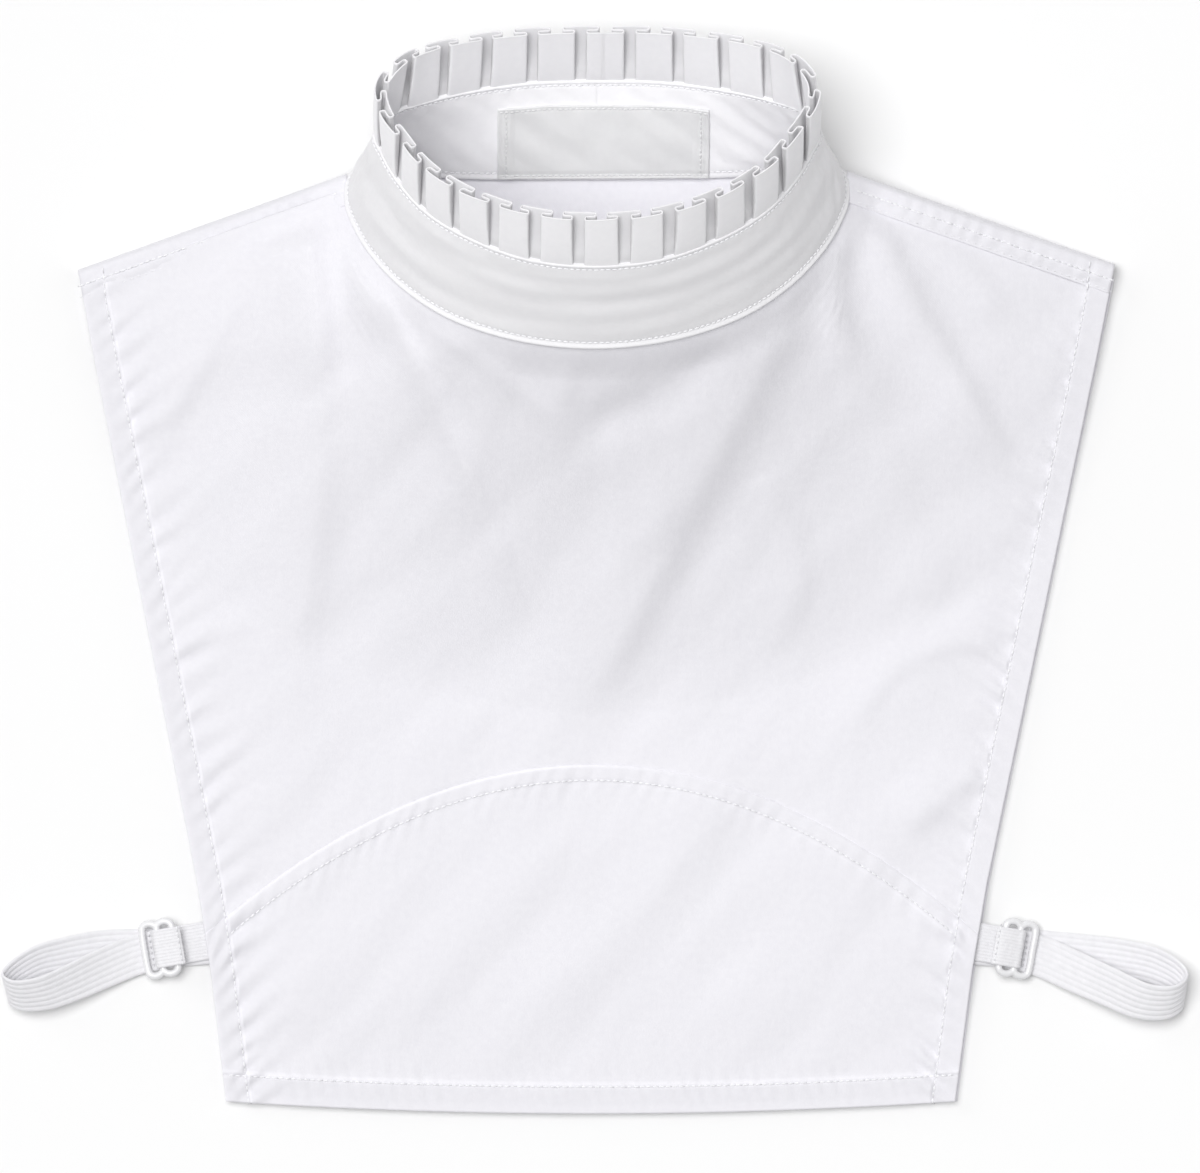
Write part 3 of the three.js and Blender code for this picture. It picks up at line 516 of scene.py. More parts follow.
# %% A smooth curve through points
def catmull(points, closed, steps):
    """Points along the centripetal Catmull-Rom curve through the given ones, evenly spaced between them."""
    points = np.asarray(points, float)
    if closed:
        line = np.concatenate([points[-1:], points, points[:2]])
        at = np.arange(steps) / steps * len(points)
    else:
        ends = [2 * points[0] - points[1], 2 * points[-1] - points[-2]]
        line = np.concatenate([ends[:1], points, ends[1:]])
        at = np.linspace(0, len(points) - 1, steps)
    k = np.minimum(at.astype(int), len(line) - 4)
    t = (at - k)[:, None]
    p0, p1, p2, p3 = (line[k + step] for step in range(4))
    d0, d1, d2 = (np.sqrt(np.linalg.norm(b - a, axis=1))[:, None] for a, b in ((p0, p1), (p1, p2), (p2, p3)))
    m1 = ((p1 - p0) / d0 - (p2 - p0) / (d0 + d1) + (p2 - p1) / d1) * d1
    m2 = ((p2 - p1) / d1 - (p3 - p1) / (d1 + d2) + (p3 - p2) / d2) * d1
    return (2 * p1 - 2 * p2 + m1 + m2) * t**3 + (-3 * p1 + 3 * p2 - 2 * m1 - m2) * t**2 + m1 * t + p1


def unit(v):
    return v / np.linalg.norm(v, axis=-1, keepdims=True)


print("a curve through three stations:", catmull(COLLAR_NECK[:3], False, 5).round(1).tolist())


# %% Rings of the collar
def whole_ring(half):
    left = half[1:-1][::-1] * (-1, 1, 1)
    return catmull(np.concatenate([half, left]), True, RING_STEPS)


def ring_lengths(ring):
    """Distance along a closed ring up to each of its points, and its whole length at the end."""
    steps = np.linalg.norm(np.roll(ring, -1, 0) - ring, axis=1)
    return np.concatenate([[0], np.cumsum(steps)])


def on_ring(values, t):
    """Reads a ring of values at shares t of the way round, from the middle of the back."""
    at = np.mod(np.asarray(t, float), 1) * RING_STEPS
    k = at.astype(int) % RING_STEPS
    return lerp(values[k], values[(k + 1) % RING_STEPS], (at - np.floor(at))[..., None])


neck_ring = whole_ring(COLLAR_NECK)
top_ring = whole_ring(COLLAR_TOP)
ring_up = unit(top_ring - neck_ring)
ring_along = unit(np.roll(top_ring, -1, 0) - np.roll(top_ring, 1, 0))
ring_out = unit(np.cross(ring_up, ring_along))
ruffle_plan = RUFFLE_TOP - COLLAR_TOP[:, :2]
ruffle_rise = np.sqrt(RUFFLE_HEIGHT**2 - (ruffle_plan**2).sum(1))
ruffle_up = unit(whole_ring(COLLAR_TOP + np.c_[ruffle_plan, ruffle_rise]) - top_ring)
NECK_GIRTH, TOP_GIRTH = ring_lengths(neck_ring)[-1], ring_lengths(top_ring)[-1]
print("neck seam", round(NECK_GIRTH, 1), "mm, top seam", round(TOP_GIRTH, 1), "mm")

# %% [markdown]
# ## How the cloth lies
#
# The front hangs from the collar like a tent and falls to the table within a hand's width. The folds are
# not random: cloth that hangs from a ring falls in cones that radiate from it, and the photograph shows a
# wide V below the collar. So the height of the front is a sum: the fall from the neck seam, a puff between
# the hems, the main folds from a table with a row for each, and small radiating waves. Modelling it as a
# height keeps each fold where the photograph has it, which a simulation would not.

# %% Distance from the neck seam
NECK_FALL_START, NECK_SAMPLES = 0.17, 64
NECK_BLUR, NECK_BLEND = 10.0, 22.0
neck_front = on_ring(neck_ring, np.linspace(NECK_FALL_START, 1 - NECK_FALL_START, NECK_SAMPLES + 1))


def at_nearest(values, gap):
    """The value that belongs to the nearest stretch of a line, for each point."""
    return np.take_along_axis(values, gap.argmin(-1)[..., None], -1)[..., 0]


def to_line(x, y, line):
    """How far a point is from each stretch of a line, its foot and side there, and the stretch's run."""
    a, run = line[:-1], np.diff(line, axis=0)
    px, py = x[..., None] - a[:, 0], y[..., None] - a[:, 1]
    dx, dy = run[:, 0], run[:, 1]
    t = np.clip((px * dx + py * dy) / (dx**2 + dy**2), 0, 1)
    return np.hypot(px - t * dx, py - t * dy), t, px * dy - py * dx, run


def nearest_neck(x, y):
    """Distance in plan from the neck seam, and the seam's height there, evened out away from the seam."""
    gap, t, _, run = to_line(x, y, neck_front)
    z = neck_front[:-1, 2] + run[:, 2] * t
    weight = 1 / (gap**2 + NECK_BLUR**2) ** 2
    distance, height = at_nearest(gap, gap), at_nearest(z, gap)
    even = (weight * z).sum(-1) / weight.sum(-1)
    return distance, lerp(height, even, smooth(distance / NECK_BLEND))


middle_gap = nearest_neck(*np.zeros((2, 1)))[0]
print("from the front's middle to the neck seam:", round(float(middle_gap[0]), 1), "mm in plan")

# %% Main folds
# Each row is a line in plan, the widths of its flanks on the upper left side and on the other side, and a
# height, which is negative for a valley
MAIN_FOLDS = [
    ([(-99, 106), (-122, 70), (-145, 27)], 10, 4.5, 1.9),
    ([(-92, 106), (-88, 78), (-89, 11), (-99, -51)], 16, 7.5, 3.9),
    ([(-92, 112), (-88, 84), (-87, 52)], 12, 5, 2.6),
    ([(-81, 104), (-75, 92), (-66, 70)], 5, 3, 1.2),
    ([(-74, 100), (-39, 31), (-20, -18)], 5, 2.5, 1.8),
    ([(56, 80), (34, 64), (10, 50), (-9, 40)], 6, 9, -2.3),
    ([(-52, 77), (-28, 60), (-4, 40)], 4, 3, 0.8),
    ([(58, 78), (29, 20), (-8, -51)], 18, 7, 4.0),
    ([(77, 112), (75, 88), (80, 60)], 5, 4, 2.4),
    ([(84, 119), (94, 92), (117, 52), (134, 20)], 9, 5, 3.0),
    ([(108, 105), (118, 92), (131, 74)], 6, 4, 1.2),
    ([(78, 72), (102, 6), (110, -14)], 10, 7, 0.7),
    ([(52, 30), (63, 5), (59, -28)], 9, 5, 1.2),
    ([(128, -20), (98, -28), (75, -57)], 9, 4, 1.3),
    ([(122, -61), (108, -72), (95, -83)], 9, 4, 1.5),
    ([(-110, -16), (-131, -27)], 5, 3, 0.9),
    ([(42, -70), (10, -110), (-22, -150)], 14, 9, 1.1),
    ([(-8, -80), (-40, -118), (-70, -152)], 14, 9, 1.1),
    ([(88, -95), (62, -125), (38, -152)], 12, 8, 1.0),
    ([(-55, -92), (-84, -128), (-98, -150)], 12, 8, 0.9),
]
FOLD_STEPS, FOLD_START, FOLD_FADE, FOLD_OUT = 20, -0.1, 0.2, 0.3
UPHILL = np.array([0.61, 0.79])


def fold_height(x, y):
    """Sum of the main folds."""
    total = np.zeros_like(x)
    for points, wide, steep, height in MAIN_FOLDS:
        gap, t, side, run = to_line(x, y, catmull(points, False, FOLD_STEPS))
        along = at_nearest((np.arange(len(run)) + t) / len(run), gap)
        uphill = at_nearest(side * np.sign(run @ UPHILL), gap) < 0
        ends = smooth((along - FOLD_START) / FOLD_FADE) * smooth((1 - along) / FOLD_OUT)
        total += height * ends * hill(at_nearest(gap, gap), np.where(uphill, wide, steep))
    return total


print("main folds", len(MAIN_FOLDS), "of which valleys", sum(height < 0 for *_, height in MAIN_FOLDS))

# %% The front's underside
FLAT_HEIGHT, PUFF, EDGE_FADE = 2.9, 1.6, 40.0
FALL_POWER, FALL_FRONT, FALL_SIDE = 1.4, 120.0, 100.0
# Under the collar's front and right side the fall starts more steeply
NECK_DIP, NECK_DIP_REACH, DIP_X, DIP_RUN = 3.8, 11.0, -70, 60
STRAP_LIFT, STRAP_Y, STRAP_SPREAD = 1.8, -117.0, 16.0
# Folds fade out over FOLD_EDGE before they reach the stitches of the sides, the hem and the shoulders
FOLD_EDGE, FOLD_SIDE, FOLD_HEM, FOLD_SHOULDER = 9.0, 4, 6, 9


def front_underside(x, y):
    """Height of the front's lower face."""
    distance, z = nearest_neck(x, y)
    side, low, _ = edge_distances(x, y)
    shoulder = shoulder_distance(x, y)
    frontness = np.clip((z - NECK_CORNER[2]) / (NECK_FRONT[2] - NECK_CORNER[2]), 0, 1)
    fall = np.clip(1 - distance / lerp(FALL_SIDE, FALL_FRONT, frontness), 0, 1) ** FALL_POWER
    in_side = smooth(side / EDGE_FADE)
    inside = in_side * smooth(low / EDGE_FADE) * smooth(shoulder / EDGE_FADE)
    strap = STRAP_LIFT * hill(y - STRAP_Y, STRAP_SPREAD) * (1 - in_side)
    flat = FLAT_HEIGHT + PUFF * inside + strap
    free = smooth((side - FOLD_SIDE) / FOLD_EDGE) * smooth((low - FOLD_HEM) / FOLD_EDGE)
    free = free * smooth((shoulder - FOLD_SHOULDER) / FOLD_EDGE) * smooth(distance / FOLD_EDGE)
    dip = NECK_DIP * smooth((x - DIP_X) / DIP_RUN) * smooth(distance / NECK_DIP_REACH)
    return flat + (z - CLOTH_WALL - flat) * fall - dip * fall + fold_height(x, y) * free


print("front height at the centre", round(float(front_underside(*np.zeros((2, 1)))[0]), 2), "mm")

# %% The back's underside
BACK_REACH, BACK_POWER, BACK_DROP = 52.0, 3.2, 3.2
OVER_STRIP_END, OVER_STRIP_RUN, OVER_STRIP_X, OVER_STRIP_WIDTH = 26.4, 13.0, 60.0, 16.0


def back_underside(x, y):
    """Height of the back's lower face: flat on the table, up at the neck's corners and over the strips."""
    gap = np.hypot(np.abs(x) - NECK_CORNER[0], y - NECK_CORNER[1])
    rise = np.clip(1 - gap / BACK_REACH, 0, 1) ** BACK_POWER
    near_fold = smooth((OVER_STRIP_END - shoulder_distance(x, y)) / OVER_STRIP_RUN)
    outward = smooth((np.abs(x) - OVER_STRIP_X) / OVER_STRIP_WIDTH)
    return (NECK_CORNER[2] - BACK_DROP) * rise + (CLOTH_WALL + SEAM_GAP) * near_fold * outward


print("back rises to", round(float(back_underside(*NECK_CORNER[:2])), 1), "mm at the corners of the neck")

# %% [markdown]
# ## Small folds and wrinkles
#
# Between the main folds the cloth is never quite flat. Small waves fan out from the collar, weaker with
# distance, and the rest of the panel has long slanted waves from lying folded. They could be a displacement
# map, but as a height that is added to the main folds they share its edges, and they fade out before each
# hem and seam.

# %% Small folds and wrinkles
COLLAR_MIDDLE = np.array([0.0, 112.0])
FINE_RELIEF = 1.5


def small_relief(x, y):
    """Waves that radiate from the collar, and the cloth's slight unevenness."""
    across, down = x - COLLAR_MIDDLE[0], COLLAR_MIDDLE[1] - y
    radius, angle = np.hypot(across, down), np.arctan2(across, down)
    near = smooth((radius - 38) / 20) * smooth((190 - radius) / 110)
    radial = waves(angle * 5.2 + 40, radius / 95, 3) * 0.75 + waves(angle * 10.5 + 60, radius / 60, 4) * 0.28
    close = smooth((radius - 44) / 8) * smooth((100 - radius) / 45)
    radial += waves(angle * 19 + 80, radius / 40, 8) * 0.3 * close
    slant = waves((x - y) / 26, (x + y) / 80, 5) * 0.5 + waves((x - 0.8 * y) / 11, (x + y) / 40, 6) * 0.16
    return FINE_RELIEF * (radial * near + slant + waves(x / 7, y / 8, 7) * 0.05)


relief = small_relief(*np.mgrid[-80:80:40j, -80:40:40j])
print("small folds from", round(float(relief.min()), 2), "to", round(float(relief.max()), 2), "mm")

# %% [markdown]
# ## Seams that pucker
#
# A row of stitches pulls the cloth in, so that it stands in little puckers beside the thread. Each seam is
# a line in plan. The cloth near it gets a shallow groove under the thread and puckers that fade within a
# few millimetres. They could be a bump in the finish, but as part of the mesh they throw real shadows and
# show at the cloth's edge.

# %% Puckers along a seam
# Each seam's puckers: pitch, height, reach to both sides, seed and slant
SIDE_PUCKERS = (6.8, 0.58, 5.0, 11, -0.8)
SIDE_DRAWN = (9.5, 0.8, 12.0, 15, -0.65)
HEM_PUCKERS = (4.6, 0.3, 6.0, 12, 0.3)
ARCH_PUCKERS = (5.4, 0.3, 5.5, 13, 0.4)
OVER_ARCH_PUCKERS = (3.6, 0.16, 4.0, 14)
STRIP_PUCKERS = (5.0, 0.3, 3.0, 31, 0.4)
STRIP_END_PUCKERS = (4.0, 0.3, 3.0, 32)
BAND_FOOT_PUCKERS = (4.4, 0.05, 1.8, 45)
BAND_TOP_PUCKERS = (5.0, 0.09, 2.4, 46)
LABEL_PUCKERS = (4.2, 0.04, 1.8, 51)


def puckers(off, along, pitch, height, reach, seed, slant=0.0):
    """Small waves beside a seam: off and along are the distances from it and along it."""
    place = (along + slant * off) / pitch
    drift = 2.2 * waves(place / 3.5, 0.3 + off / (3 * reach), seed + 100)
    size = 0.65 + 0.6 * waves(place / 2, 7.7, seed + 200)
    wave = np.sin(2 * np.pi * place + drift) + 0.35 * waves(place * 2.3, off / reach + 9, seed)
    return height * size * wave * hill(off, reach)


def groove(off, depth=0.3, half=0.45):
    return -depth * hill(off, half)


def edge_round(distance, radius):
    """How far the face drops towards a rounded edge."""
    inward = np.clip(1 - distance / radius, 0, 1)
    return radius * (1 - np.sqrt(1 - inward**2))


wave = puckers(np.zeros(200), np.linspace(0, 60, 200), *SIDE_PUCKERS)
print("puckers on the side seam reach", round(float(np.abs(wave).max()), 2), "mm")

# %% The face of the front
SIDE_STITCH, HEM_STITCH, ARCH_STITCH = 7.1, 8.3, 5.0
HEM_EXTRA, ARCH_STEP, ARCH_TUCK = 0.5, 0.5, 0.75
SEAM_RIDGE, RIDGE_OFF, RIDGE_WIDTH, RIGHT_RIDGE = 0.34, 1.0, 0.5, 0.4
OTHER_SIDE = 300


def turned_hem(side, low):
    """1 where a hem is turned under, up to just past its stitches, and 0 elsewhere."""
    return np.maximum(smooth((SIDE_STITCH + 0.9 - side) / 0.9), smooth((HEM_STITCH + 0.9 - low) / 0.9))


def front_face(x, y, lower):
    """Height of the front's upper face. The lower panel lies over the upper one along the curved seam."""
    side, low, arch = edge_distances(x, y)
    from_side, from_hem, from_arch = side - SIDE_STITCH, low - HEM_STITCH, arch - ARCH_STITCH
    inside = smooth(side / 16) * smooth(low / 16) * smooth((shoulder_distance(x, y) - 8) / 14)
    past_hem = smooth((from_side - 0.3) / 0.8)
    along = y + OTHER_SIDE * (x > 0)
    face = front_underside(x, y) + CLOTH_WALL
    face += small_relief(x, y) * inside * smooth(nearest_neck(x, y)[0] / 9)
    face += HEM_EXTRA * turned_hem(side, low)
    face += puckers(from_side, along, *SIDE_PUCKERS) + groove(from_side)
    face += puckers(from_side, along, *SIDE_DRAWN) * past_hem
    face += puckers(from_hem, x, *HEM_PUCKERS) + groove(from_hem)
    side_ridge = hill(from_side - RIDGE_OFF, RIDGE_WIDTH) * np.where(x < 0, 1.0, RIGHT_RIDGE)
    face += SEAM_RIDGE * (side_ridge + hill(from_hem - RIDGE_OFF, RIDGE_WIDTH))
    if lower:
        face += (ARCH_STEP * smooth((1.2 - from_arch) / 1.2) + groove(from_arch)) * past_hem
        face += puckers(from_arch, x, *ARCH_PUCKERS)
        return face - ARCH_STEP * smooth(1 - arch / 0.25) * 0.4 * past_hem
    face += puckers(arch + 1, x, *OVER_ARCH_PUCKERS) * (arch < 0)
    return face - ARCH_TUCK * smooth(arch / 0.7)


print("the front's face at its centre is", round(float(front_face(*np.zeros((2, 1)), False)[0]), 2), "mm up")

# %% [markdown]
# ## The front panels
#
# Each panel is a grid of points: columns run from the neck and shoulders down to the lower edge, and rows
# stand close together at the hems and seams, where the shape turns quickly. The outer columns keep their
# distance from the side edge, so that the hem runs parallel to it. A panel could be a flat mesh under a
# displacement map, but a grid that is placed by the cloth's own formulas keeps every fold, hem and stitch
# exactly in register.

# %% Columns from side to side
# Distances in from an edge at which columns or rows stand
SIDE_STEPS = np.array([
    0, 0.1, 0.3, 0.6, 1.0, 1.6, 2.4, 3.2, 4.0, 4.8, 5.5, 6.1, 6.5, 6.8, 7.1, 7.4, 7.7, 8.1, 8.6])
HEM_STEPS = np.array([
    0, 0.1, 0.3, 0.6, 1.0, 1.7, 2.5, 3.4, 4.4, 5.4, 6.3, 7.0, 7.5, 7.9, 8.3, 8.7, 9.1, 9.7, 10.4])
NECK_STEPS = np.array([0, 0.5, 1.1, 1.8, 2.6, 3.6, 4.8, 6.2])
ARCH_STEPS = np.arange(0, 9, 0.5)


def column_shares(inner):
    """Columns from left to right: a share of the inner width, or a distance in from the side edge."""
    edge, share = SIDE_STEPS[:-1], np.linspace(-1, 1, inner)
    at_edge = np.full(len(edge), np.nan)
    inset = np.concatenate([edge, np.full(inner, np.nan), edge[::-1]])
    return np.concatenate([at_edge, share, at_edge]), inset


def column_x(share, inset, left, y):
    at_edge = np.where(left, -1, 1) * (side_half(y) - np.nan_to_num(inset))
    return np.where(np.isnan(inset), np.nan_to_num(share) * (side_half(y) - SIDE_STEPS[-1]), at_edge)


print("a panel of 140 inner columns has", len(column_shares(140)[0]), "in all")

# %% Grids between a top edge and a lower edge
EDGE_PASSES = 12


def panel_grid(inner, top_line, low_line, top_steps, low_steps, rows):
    """Places in plan, [column, row], between two edges that are given as functions of x."""
    share, inset = column_shares(inner)
    left = np.arange(len(share)) < len(share) / 2
    top_y, low_y = np.full(len(share), 60.0), np.full(len(share), -120.0)
    for _ in range(EDGE_PASSES):
        top_y = top_line(column_x(share, inset, left, top_y))
        low_y = low_line(column_x(share, inset, left, low_y))
    length = (top_y - low_y)[:, None]
    middle = lerp(top_steps[-1], length - low_steps[-1], np.linspace(0, 1, rows)[1:-1])
    down = np.concatenate([np.tile(top_steps, (len(share), 1)), middle, length - low_steps[::-1]], axis=1)
    y = top_y[:, None] - down
    return column_x(share[:, None], inset[:, None], left[:, None], y), y


def neck_line(start, stop, tuck_side, tuck_front):
    """A panel's top edge as a function of x: tucked under the neck seam, and then along the shoulder."""
    t = np.linspace(start, stop, 120)
    points, run = on_ring(neck_ring, t), on_ring(ring_along, t)
    outward = unit(np.stack([run[:, 1], -run[:, 0]], -1))
    edge = points[:, :2] + outward * lerp(tuck_side, tuck_front, smooth((points[:, 2] - 25) / 30)[:, None])
    xs, ys = edge[np.argsort(edge[:, 0])].T
    return lambda x: np.where(np.abs(x) < xs[-1], np.interp(np.abs(x), xs, ys),
                              shoulder_y(x, STRIP_WIDTH - SEAM_LAP))


front_top_line = neck_line(0.5, 0.232, 1.4, 0.7)
print("the front's top edge is at y", round(float(front_top_line(0.0)), 1), "mm in the middle")

# %% Painted light and shade beside the seams
# The right side gets this share of the painted highlight on its ridge and of the painted shade on its hem
RIGHT_PAINTED_SHARE = 0.1


def painted_seam_tone(x, y, lower):
    """How bright the cloth is painted beside its seams: painted highlights on the cut edges and the pressed
    ridges, painted shade in the stitch grooves and on the turned hems.
    """
    side, low, arch = edge_distances(x, y)
    from_arch = arch - ARCH_STITCH
    # Painted highlights on the cut edges and on the pressed ridge beside each row, painted shade in each
    # stitch groove and along each turned hem
    tone = 0.5 * hill(side, 0.5) + 0.5 * hill(low, 0.5)
    for off, share in ((side - SIDE_STITCH, np.where(x < 0, 1.0, RIGHT_PAINTED_SHARE)), (low - HEM_STITCH, 1.0)):
        tone += share * hill(off - 0.95, 0.5) - 0.6 * hill(off, 0.35)
        tone -= 0.25 * share * smooth((-off - 0.2) / 0.6) * smooth((off + 6.5) / 1.5)
    if lower:
        # Along the curved seam, a painted highlight on the lower panel's edge that is stronger on the left,
        # and painted light and shade beside its stitches
        edge = hill(arch - 0.45, 0.5) * lerp(0.2, 1.3, smooth((40 - x) / 60))
        sewn = 0.5 * hill(from_arch - 0.95, 0.45) - 0.5 * hill(from_arch, 0.35)
        tone += (edge + sewn) * smooth(side - SIDE_STITCH)
    return tone


def cloth_panel(name, x, y, face, wall, low_edge, tone, top_edge=None, shift=0.0):
    """A closed cloth panel with rounded edges, from its upper face's height at each place in plan, carrying a
    painted tone of light and shade.
    """
    side, radius = side_half(y) - np.abs(x), wall / 2
    drop = np.maximum(edge_round(side, radius), edge_round(low_edge, radius))
    if top_edge is not None:
        drop = np.maximum(drop, edge_round(top_edge, radius) * smooth((side - HEM_WIDTH) / 0.6))
    outer, inner = (np.stack([x + shift, y, z], -1) for z in (face - drop, face - wall + drop))
    return add_mesh(name, *shell(outer, inner), flat_map(x, y), pressed=np.tile(tone.ravel(), 2))


def in_hem(distance):
    """1 in a turned hem of which the edge is this far away, and 0 beyond it."""
    return smooth((HEM_WIDTH - distance) / 0.8)


print("tone on a pressed ridge", round(float(painted_seam_tone(0.0, hem_y(0.0) + HEM_STITCH + 0.95, False)), 2))

# %% Upper front panel
CLOTH, HEM_CLOTH = 0.55, 0.4
ux, uy = panel_grid(140, front_top_line, lambda x: arch_y(x) - SEAM_LAP, NECK_STEPS, NECK_STEPS[:4], 132)
upper_wall = CLOTH + HEM_CLOTH * in_hem(edge_distances(ux, uy)[0])
front_upper = cloth_panel("front_upper_cloth", ux, uy, front_face(ux, uy, False), upper_wall,
                          np.full_like(uy, HEM_WIDTH), painted_seam_tone(ux, uy, False))
finish_piece(front_upper, COTTON, "body_cotton", "front_upper_panel")

# %% Lower front panel
lx, ly = panel_grid(190, arch_y, hem_y, ARCH_STEPS, HEM_STEPS, 44)
side, low, arch = edge_distances(lx, ly)
turned = np.maximum.reduce([in_hem(side), in_hem(low), smooth((ARCH_STITCH - arch) / 0.8) * 0.6])
front_lower = cloth_panel("front_lower_cloth", lx, ly, front_face(lx, ly, True), CLOTH + HEM_CLOTH * turned,
                          low, painted_seam_tone(lx, ly, True), top_edge=arch)
finish_piece(front_lower, COTTON, "body_cotton", "front_lower_panel")

# %% [markdown]
# ## The back panel
#
# The back lies flat on the table and is seen inside the collar, along the right edge and from below. It is
# cut like the front but without the curved seam, hemmed on three sides, and it rises to the collar's two
# corners. It is a panel of the same kind, with its own underside. Its colour is painted a little lighter all
# over, as painted light for the light that comes through thin cloth. A plain flat sheet would do for most of
# it, but where it shows it has real hems.

# %% Back panel
# The last value is painted light that makes the whole back's colour a little lighter
BACK_SHIFT, BACK_LIFT, BACK_HEM, BACK_TUCK, BACK_PAINTED_LIGHT = 0.7, 0.05, 0.35, -1.0, 1.2
BACK_GROOVE = 0.15


def back_face(x, y):
    """Height of the back's upper face."""
    side, low, _ = edge_distances(x, y)
    lying = back_underside(x, y) + CLOTH + BACK_LIFT + BACK_HEM * turned_hem(side, low)
    inside = smooth((side - 12) / 20) * smooth((low - 12) / 20)
    lying += (0.45 + 0.5 * waves(x / 30 + 5, y / 45, 21) + 0.15 * waves((x + y) / 12, y / 16, 22)) * inside
    return lying + groove(side - SIDE_STITCH, BACK_GROOVE) + groove(low - HEM_STITCH, BACK_GROOVE)


back_top_line = neck_line(0.0, 0.17, BACK_TUCK, BACK_TUCK)
bx, by = panel_grid(70, back_top_line, hem_y, NECK_STEPS[::2], HEM_STEPS[::2], 64)
side, low, _ = edge_distances(bx, by)
back_wall = CLOTH + BACK_HEM * np.maximum(in_hem(side), in_hem(low))
back = cloth_panel("back_cloth", bx, by, back_face(bx, by), back_wall, low, np.full_like(bx, BACK_PAINTED_LIGHT),
                   shift=BACK_SHIFT)
finish_piece(back, COTTON, "body_cotton", "back_panel")

# %% [markdown]
# ## The shoulder strips
#
# A folded strip covers each shoulder: it is sewn over the front, runs round the shoulder's fold and is sewn
# under the back. Two rows of stitches run along it, and the side hem is turned over its end. A section of
# the strip is a few millimetres of flat cloth, a half ellipse at the fold, and flat cloth again, and it is
# repeated at stations along the shoulder. It could be a thick edge of the front, but a strip of its own has
# the real seam's step, and its fold shows from the side.

# %% Places on a strip
STRIP_STITCH, STRIP_EDGE_STITCH = 5.0, 8.4
STRIP_LIFT, STRIP_SEAM_LIFT, STRIP_GROOVE = 0.75, 0.6, 0.2
SHOULDER_SLANT = 1.06


def strip_place(share, tuck):
    """Place in plan on the right shoulder, from the collar (0) to the side edge (1)."""
    x = lerp(SHOULDER_NECK[0], side_half(SHOULDER_END[1] - tuck / shoulder_run[0]), share)
    return x, shoulder_y(x, tuck)


def strip_top(share, tuck):
    """Height of the strip's upper face."""
    x, y = strip_place(share, tuck)
    from_edge, from_side, along = STRIP_WIDTH - tuck, side_half(y) - x - SIDE_STITCH, x * SHOULDER_SLANT
    top = front_underside(x, y) + CLOTH_WALL + STRIP_LIFT + STRIP_SEAM_LIFT * smooth(from_edge / 4)
    top += groove(tuck - STRIP_STITCH, STRIP_GROOVE) + 0.5 * groove(tuck - STRIP_EDGE_STITCH, STRIP_GROOVE)
    top += puckers(tuck - STRIP_STITCH, along, *STRIP_PUCKERS)
    top += groove(from_side) + puckers(from_side, tuck, *STRIP_END_PUCKERS)
    return top + 0.16 * waves(along / 17, tuck / 9, 33) * smooth(from_edge / 3)


def strip_low(share, tuck):
    """Height of the face that lies under the back, no lower than the table."""
    return np.maximum(back_underside(*strip_place(share, tuck)) - SEAM_GAP - CLOTH_WALL, 0.0)


strip_high = strip_top(0.5, STRIP_STITCH) - strip_low(0.5, STRIP_STITCH)
print("half way along, a strip is", round(float(strip_high), 1), "mm high over its fold")

# %% Shoulder strips
STRIP_STATIONS, STRIP_START = 90, -0.028
STRIP_INNER, FOLD_DEPTH, STRIP_CLOTH = 3.0, 2.4, 0.6
strip_tucks = np.array([9.4, 9.3, 9.1, 8.8, 8.4, 8.0, 7.5, 6.9, 6.3, 5.7, 5.3, 5.0, 4.7, 4.3, 3.7, 3.0])
fold_angles = np.radians(np.linspace(80, -80, 17))


def strip_skin(side, inset):
    """One skin of a strip, [station, place round its section]: inset is how deep it lies in the cloth."""
    share = np.linspace(STRIP_START, 1, STRIP_STATIONS)[:, None]

    def flat_part(tucks, height):
        tucks = np.broadcast_to(tucks, (STRIP_STATIONS, len(tucks)))
        return np.stack([*strip_place(share, tucks), height(tucks)], -1)

    edge = edge_round(STRIP_WIDTH - strip_tucks, STRIP_CLOTH / 2) * (1 if inset == 0 else -1)
    upper = flat_part(strip_tucks, lambda tucks: strip_top(share, tucks) - inset - edge)
    top, low = strip_top(share, STRIP_INNER) - inset, strip_low(share, STRIP_INNER) + inset
    half = (top - low) / 2
    depth = np.minimum(half, FOLD_DEPTH)
    x, y = strip_place(share, depth - (depth - inset) * np.cos(fold_angles))
    fold = np.stack([x, y, (top + low) / 2 + half * np.sin(fold_angles)], -1)
    under = flat_part(strip_tucks[::-2], lambda tucks: strip_low(share, tucks) + inset)
    return np.concatenate([upper, fold, under], axis=1) * (side, 1, 1)


def shoulder_strip(side, name, node_name):
    outer = strip_skin(side, 0)
    run = np.cumsum(np.linalg.norm(np.diff(outer, axis=1, prepend=outer[:, :1]), axis=2), axis=1)
    cloth = flat_map(outer[..., 0] * SHOULDER_SLANT, run)
    strip = add_mesh(name, *shell(outer, strip_skin(side, STRIP_CLOTH)), cloth)
    return finish_piece(strip, COTTON, "body_cotton", node_name)


strips = [shoulder_strip(-1, "shoulder_cloth_left", "shoulder_strip_left"),
          shoulder_strip(1, "shoulder_cloth_right", "shoulder_strip_right")]

# %% [markdown]
# ## The collar band
#
# The band is two layers of cotton over a stiffener. Its foot is a rolled edge that covers the neck seam,
# with a row of stitches just above; its top edge is thin, with a row just below. Between them it is nearly
# smooth: long shallow wrinkles run round the front, and short slanted ones cross the inside of the back. It
# could be a curve with a bevel, but a bevel keeps one section all the way round. Here a closed section is
# set at many stations round the ring, and the wrinkles move it in and out.

# %% Band wrinkles
FOOT_STITCH, TOP_STITCH = 2.5, 31.2


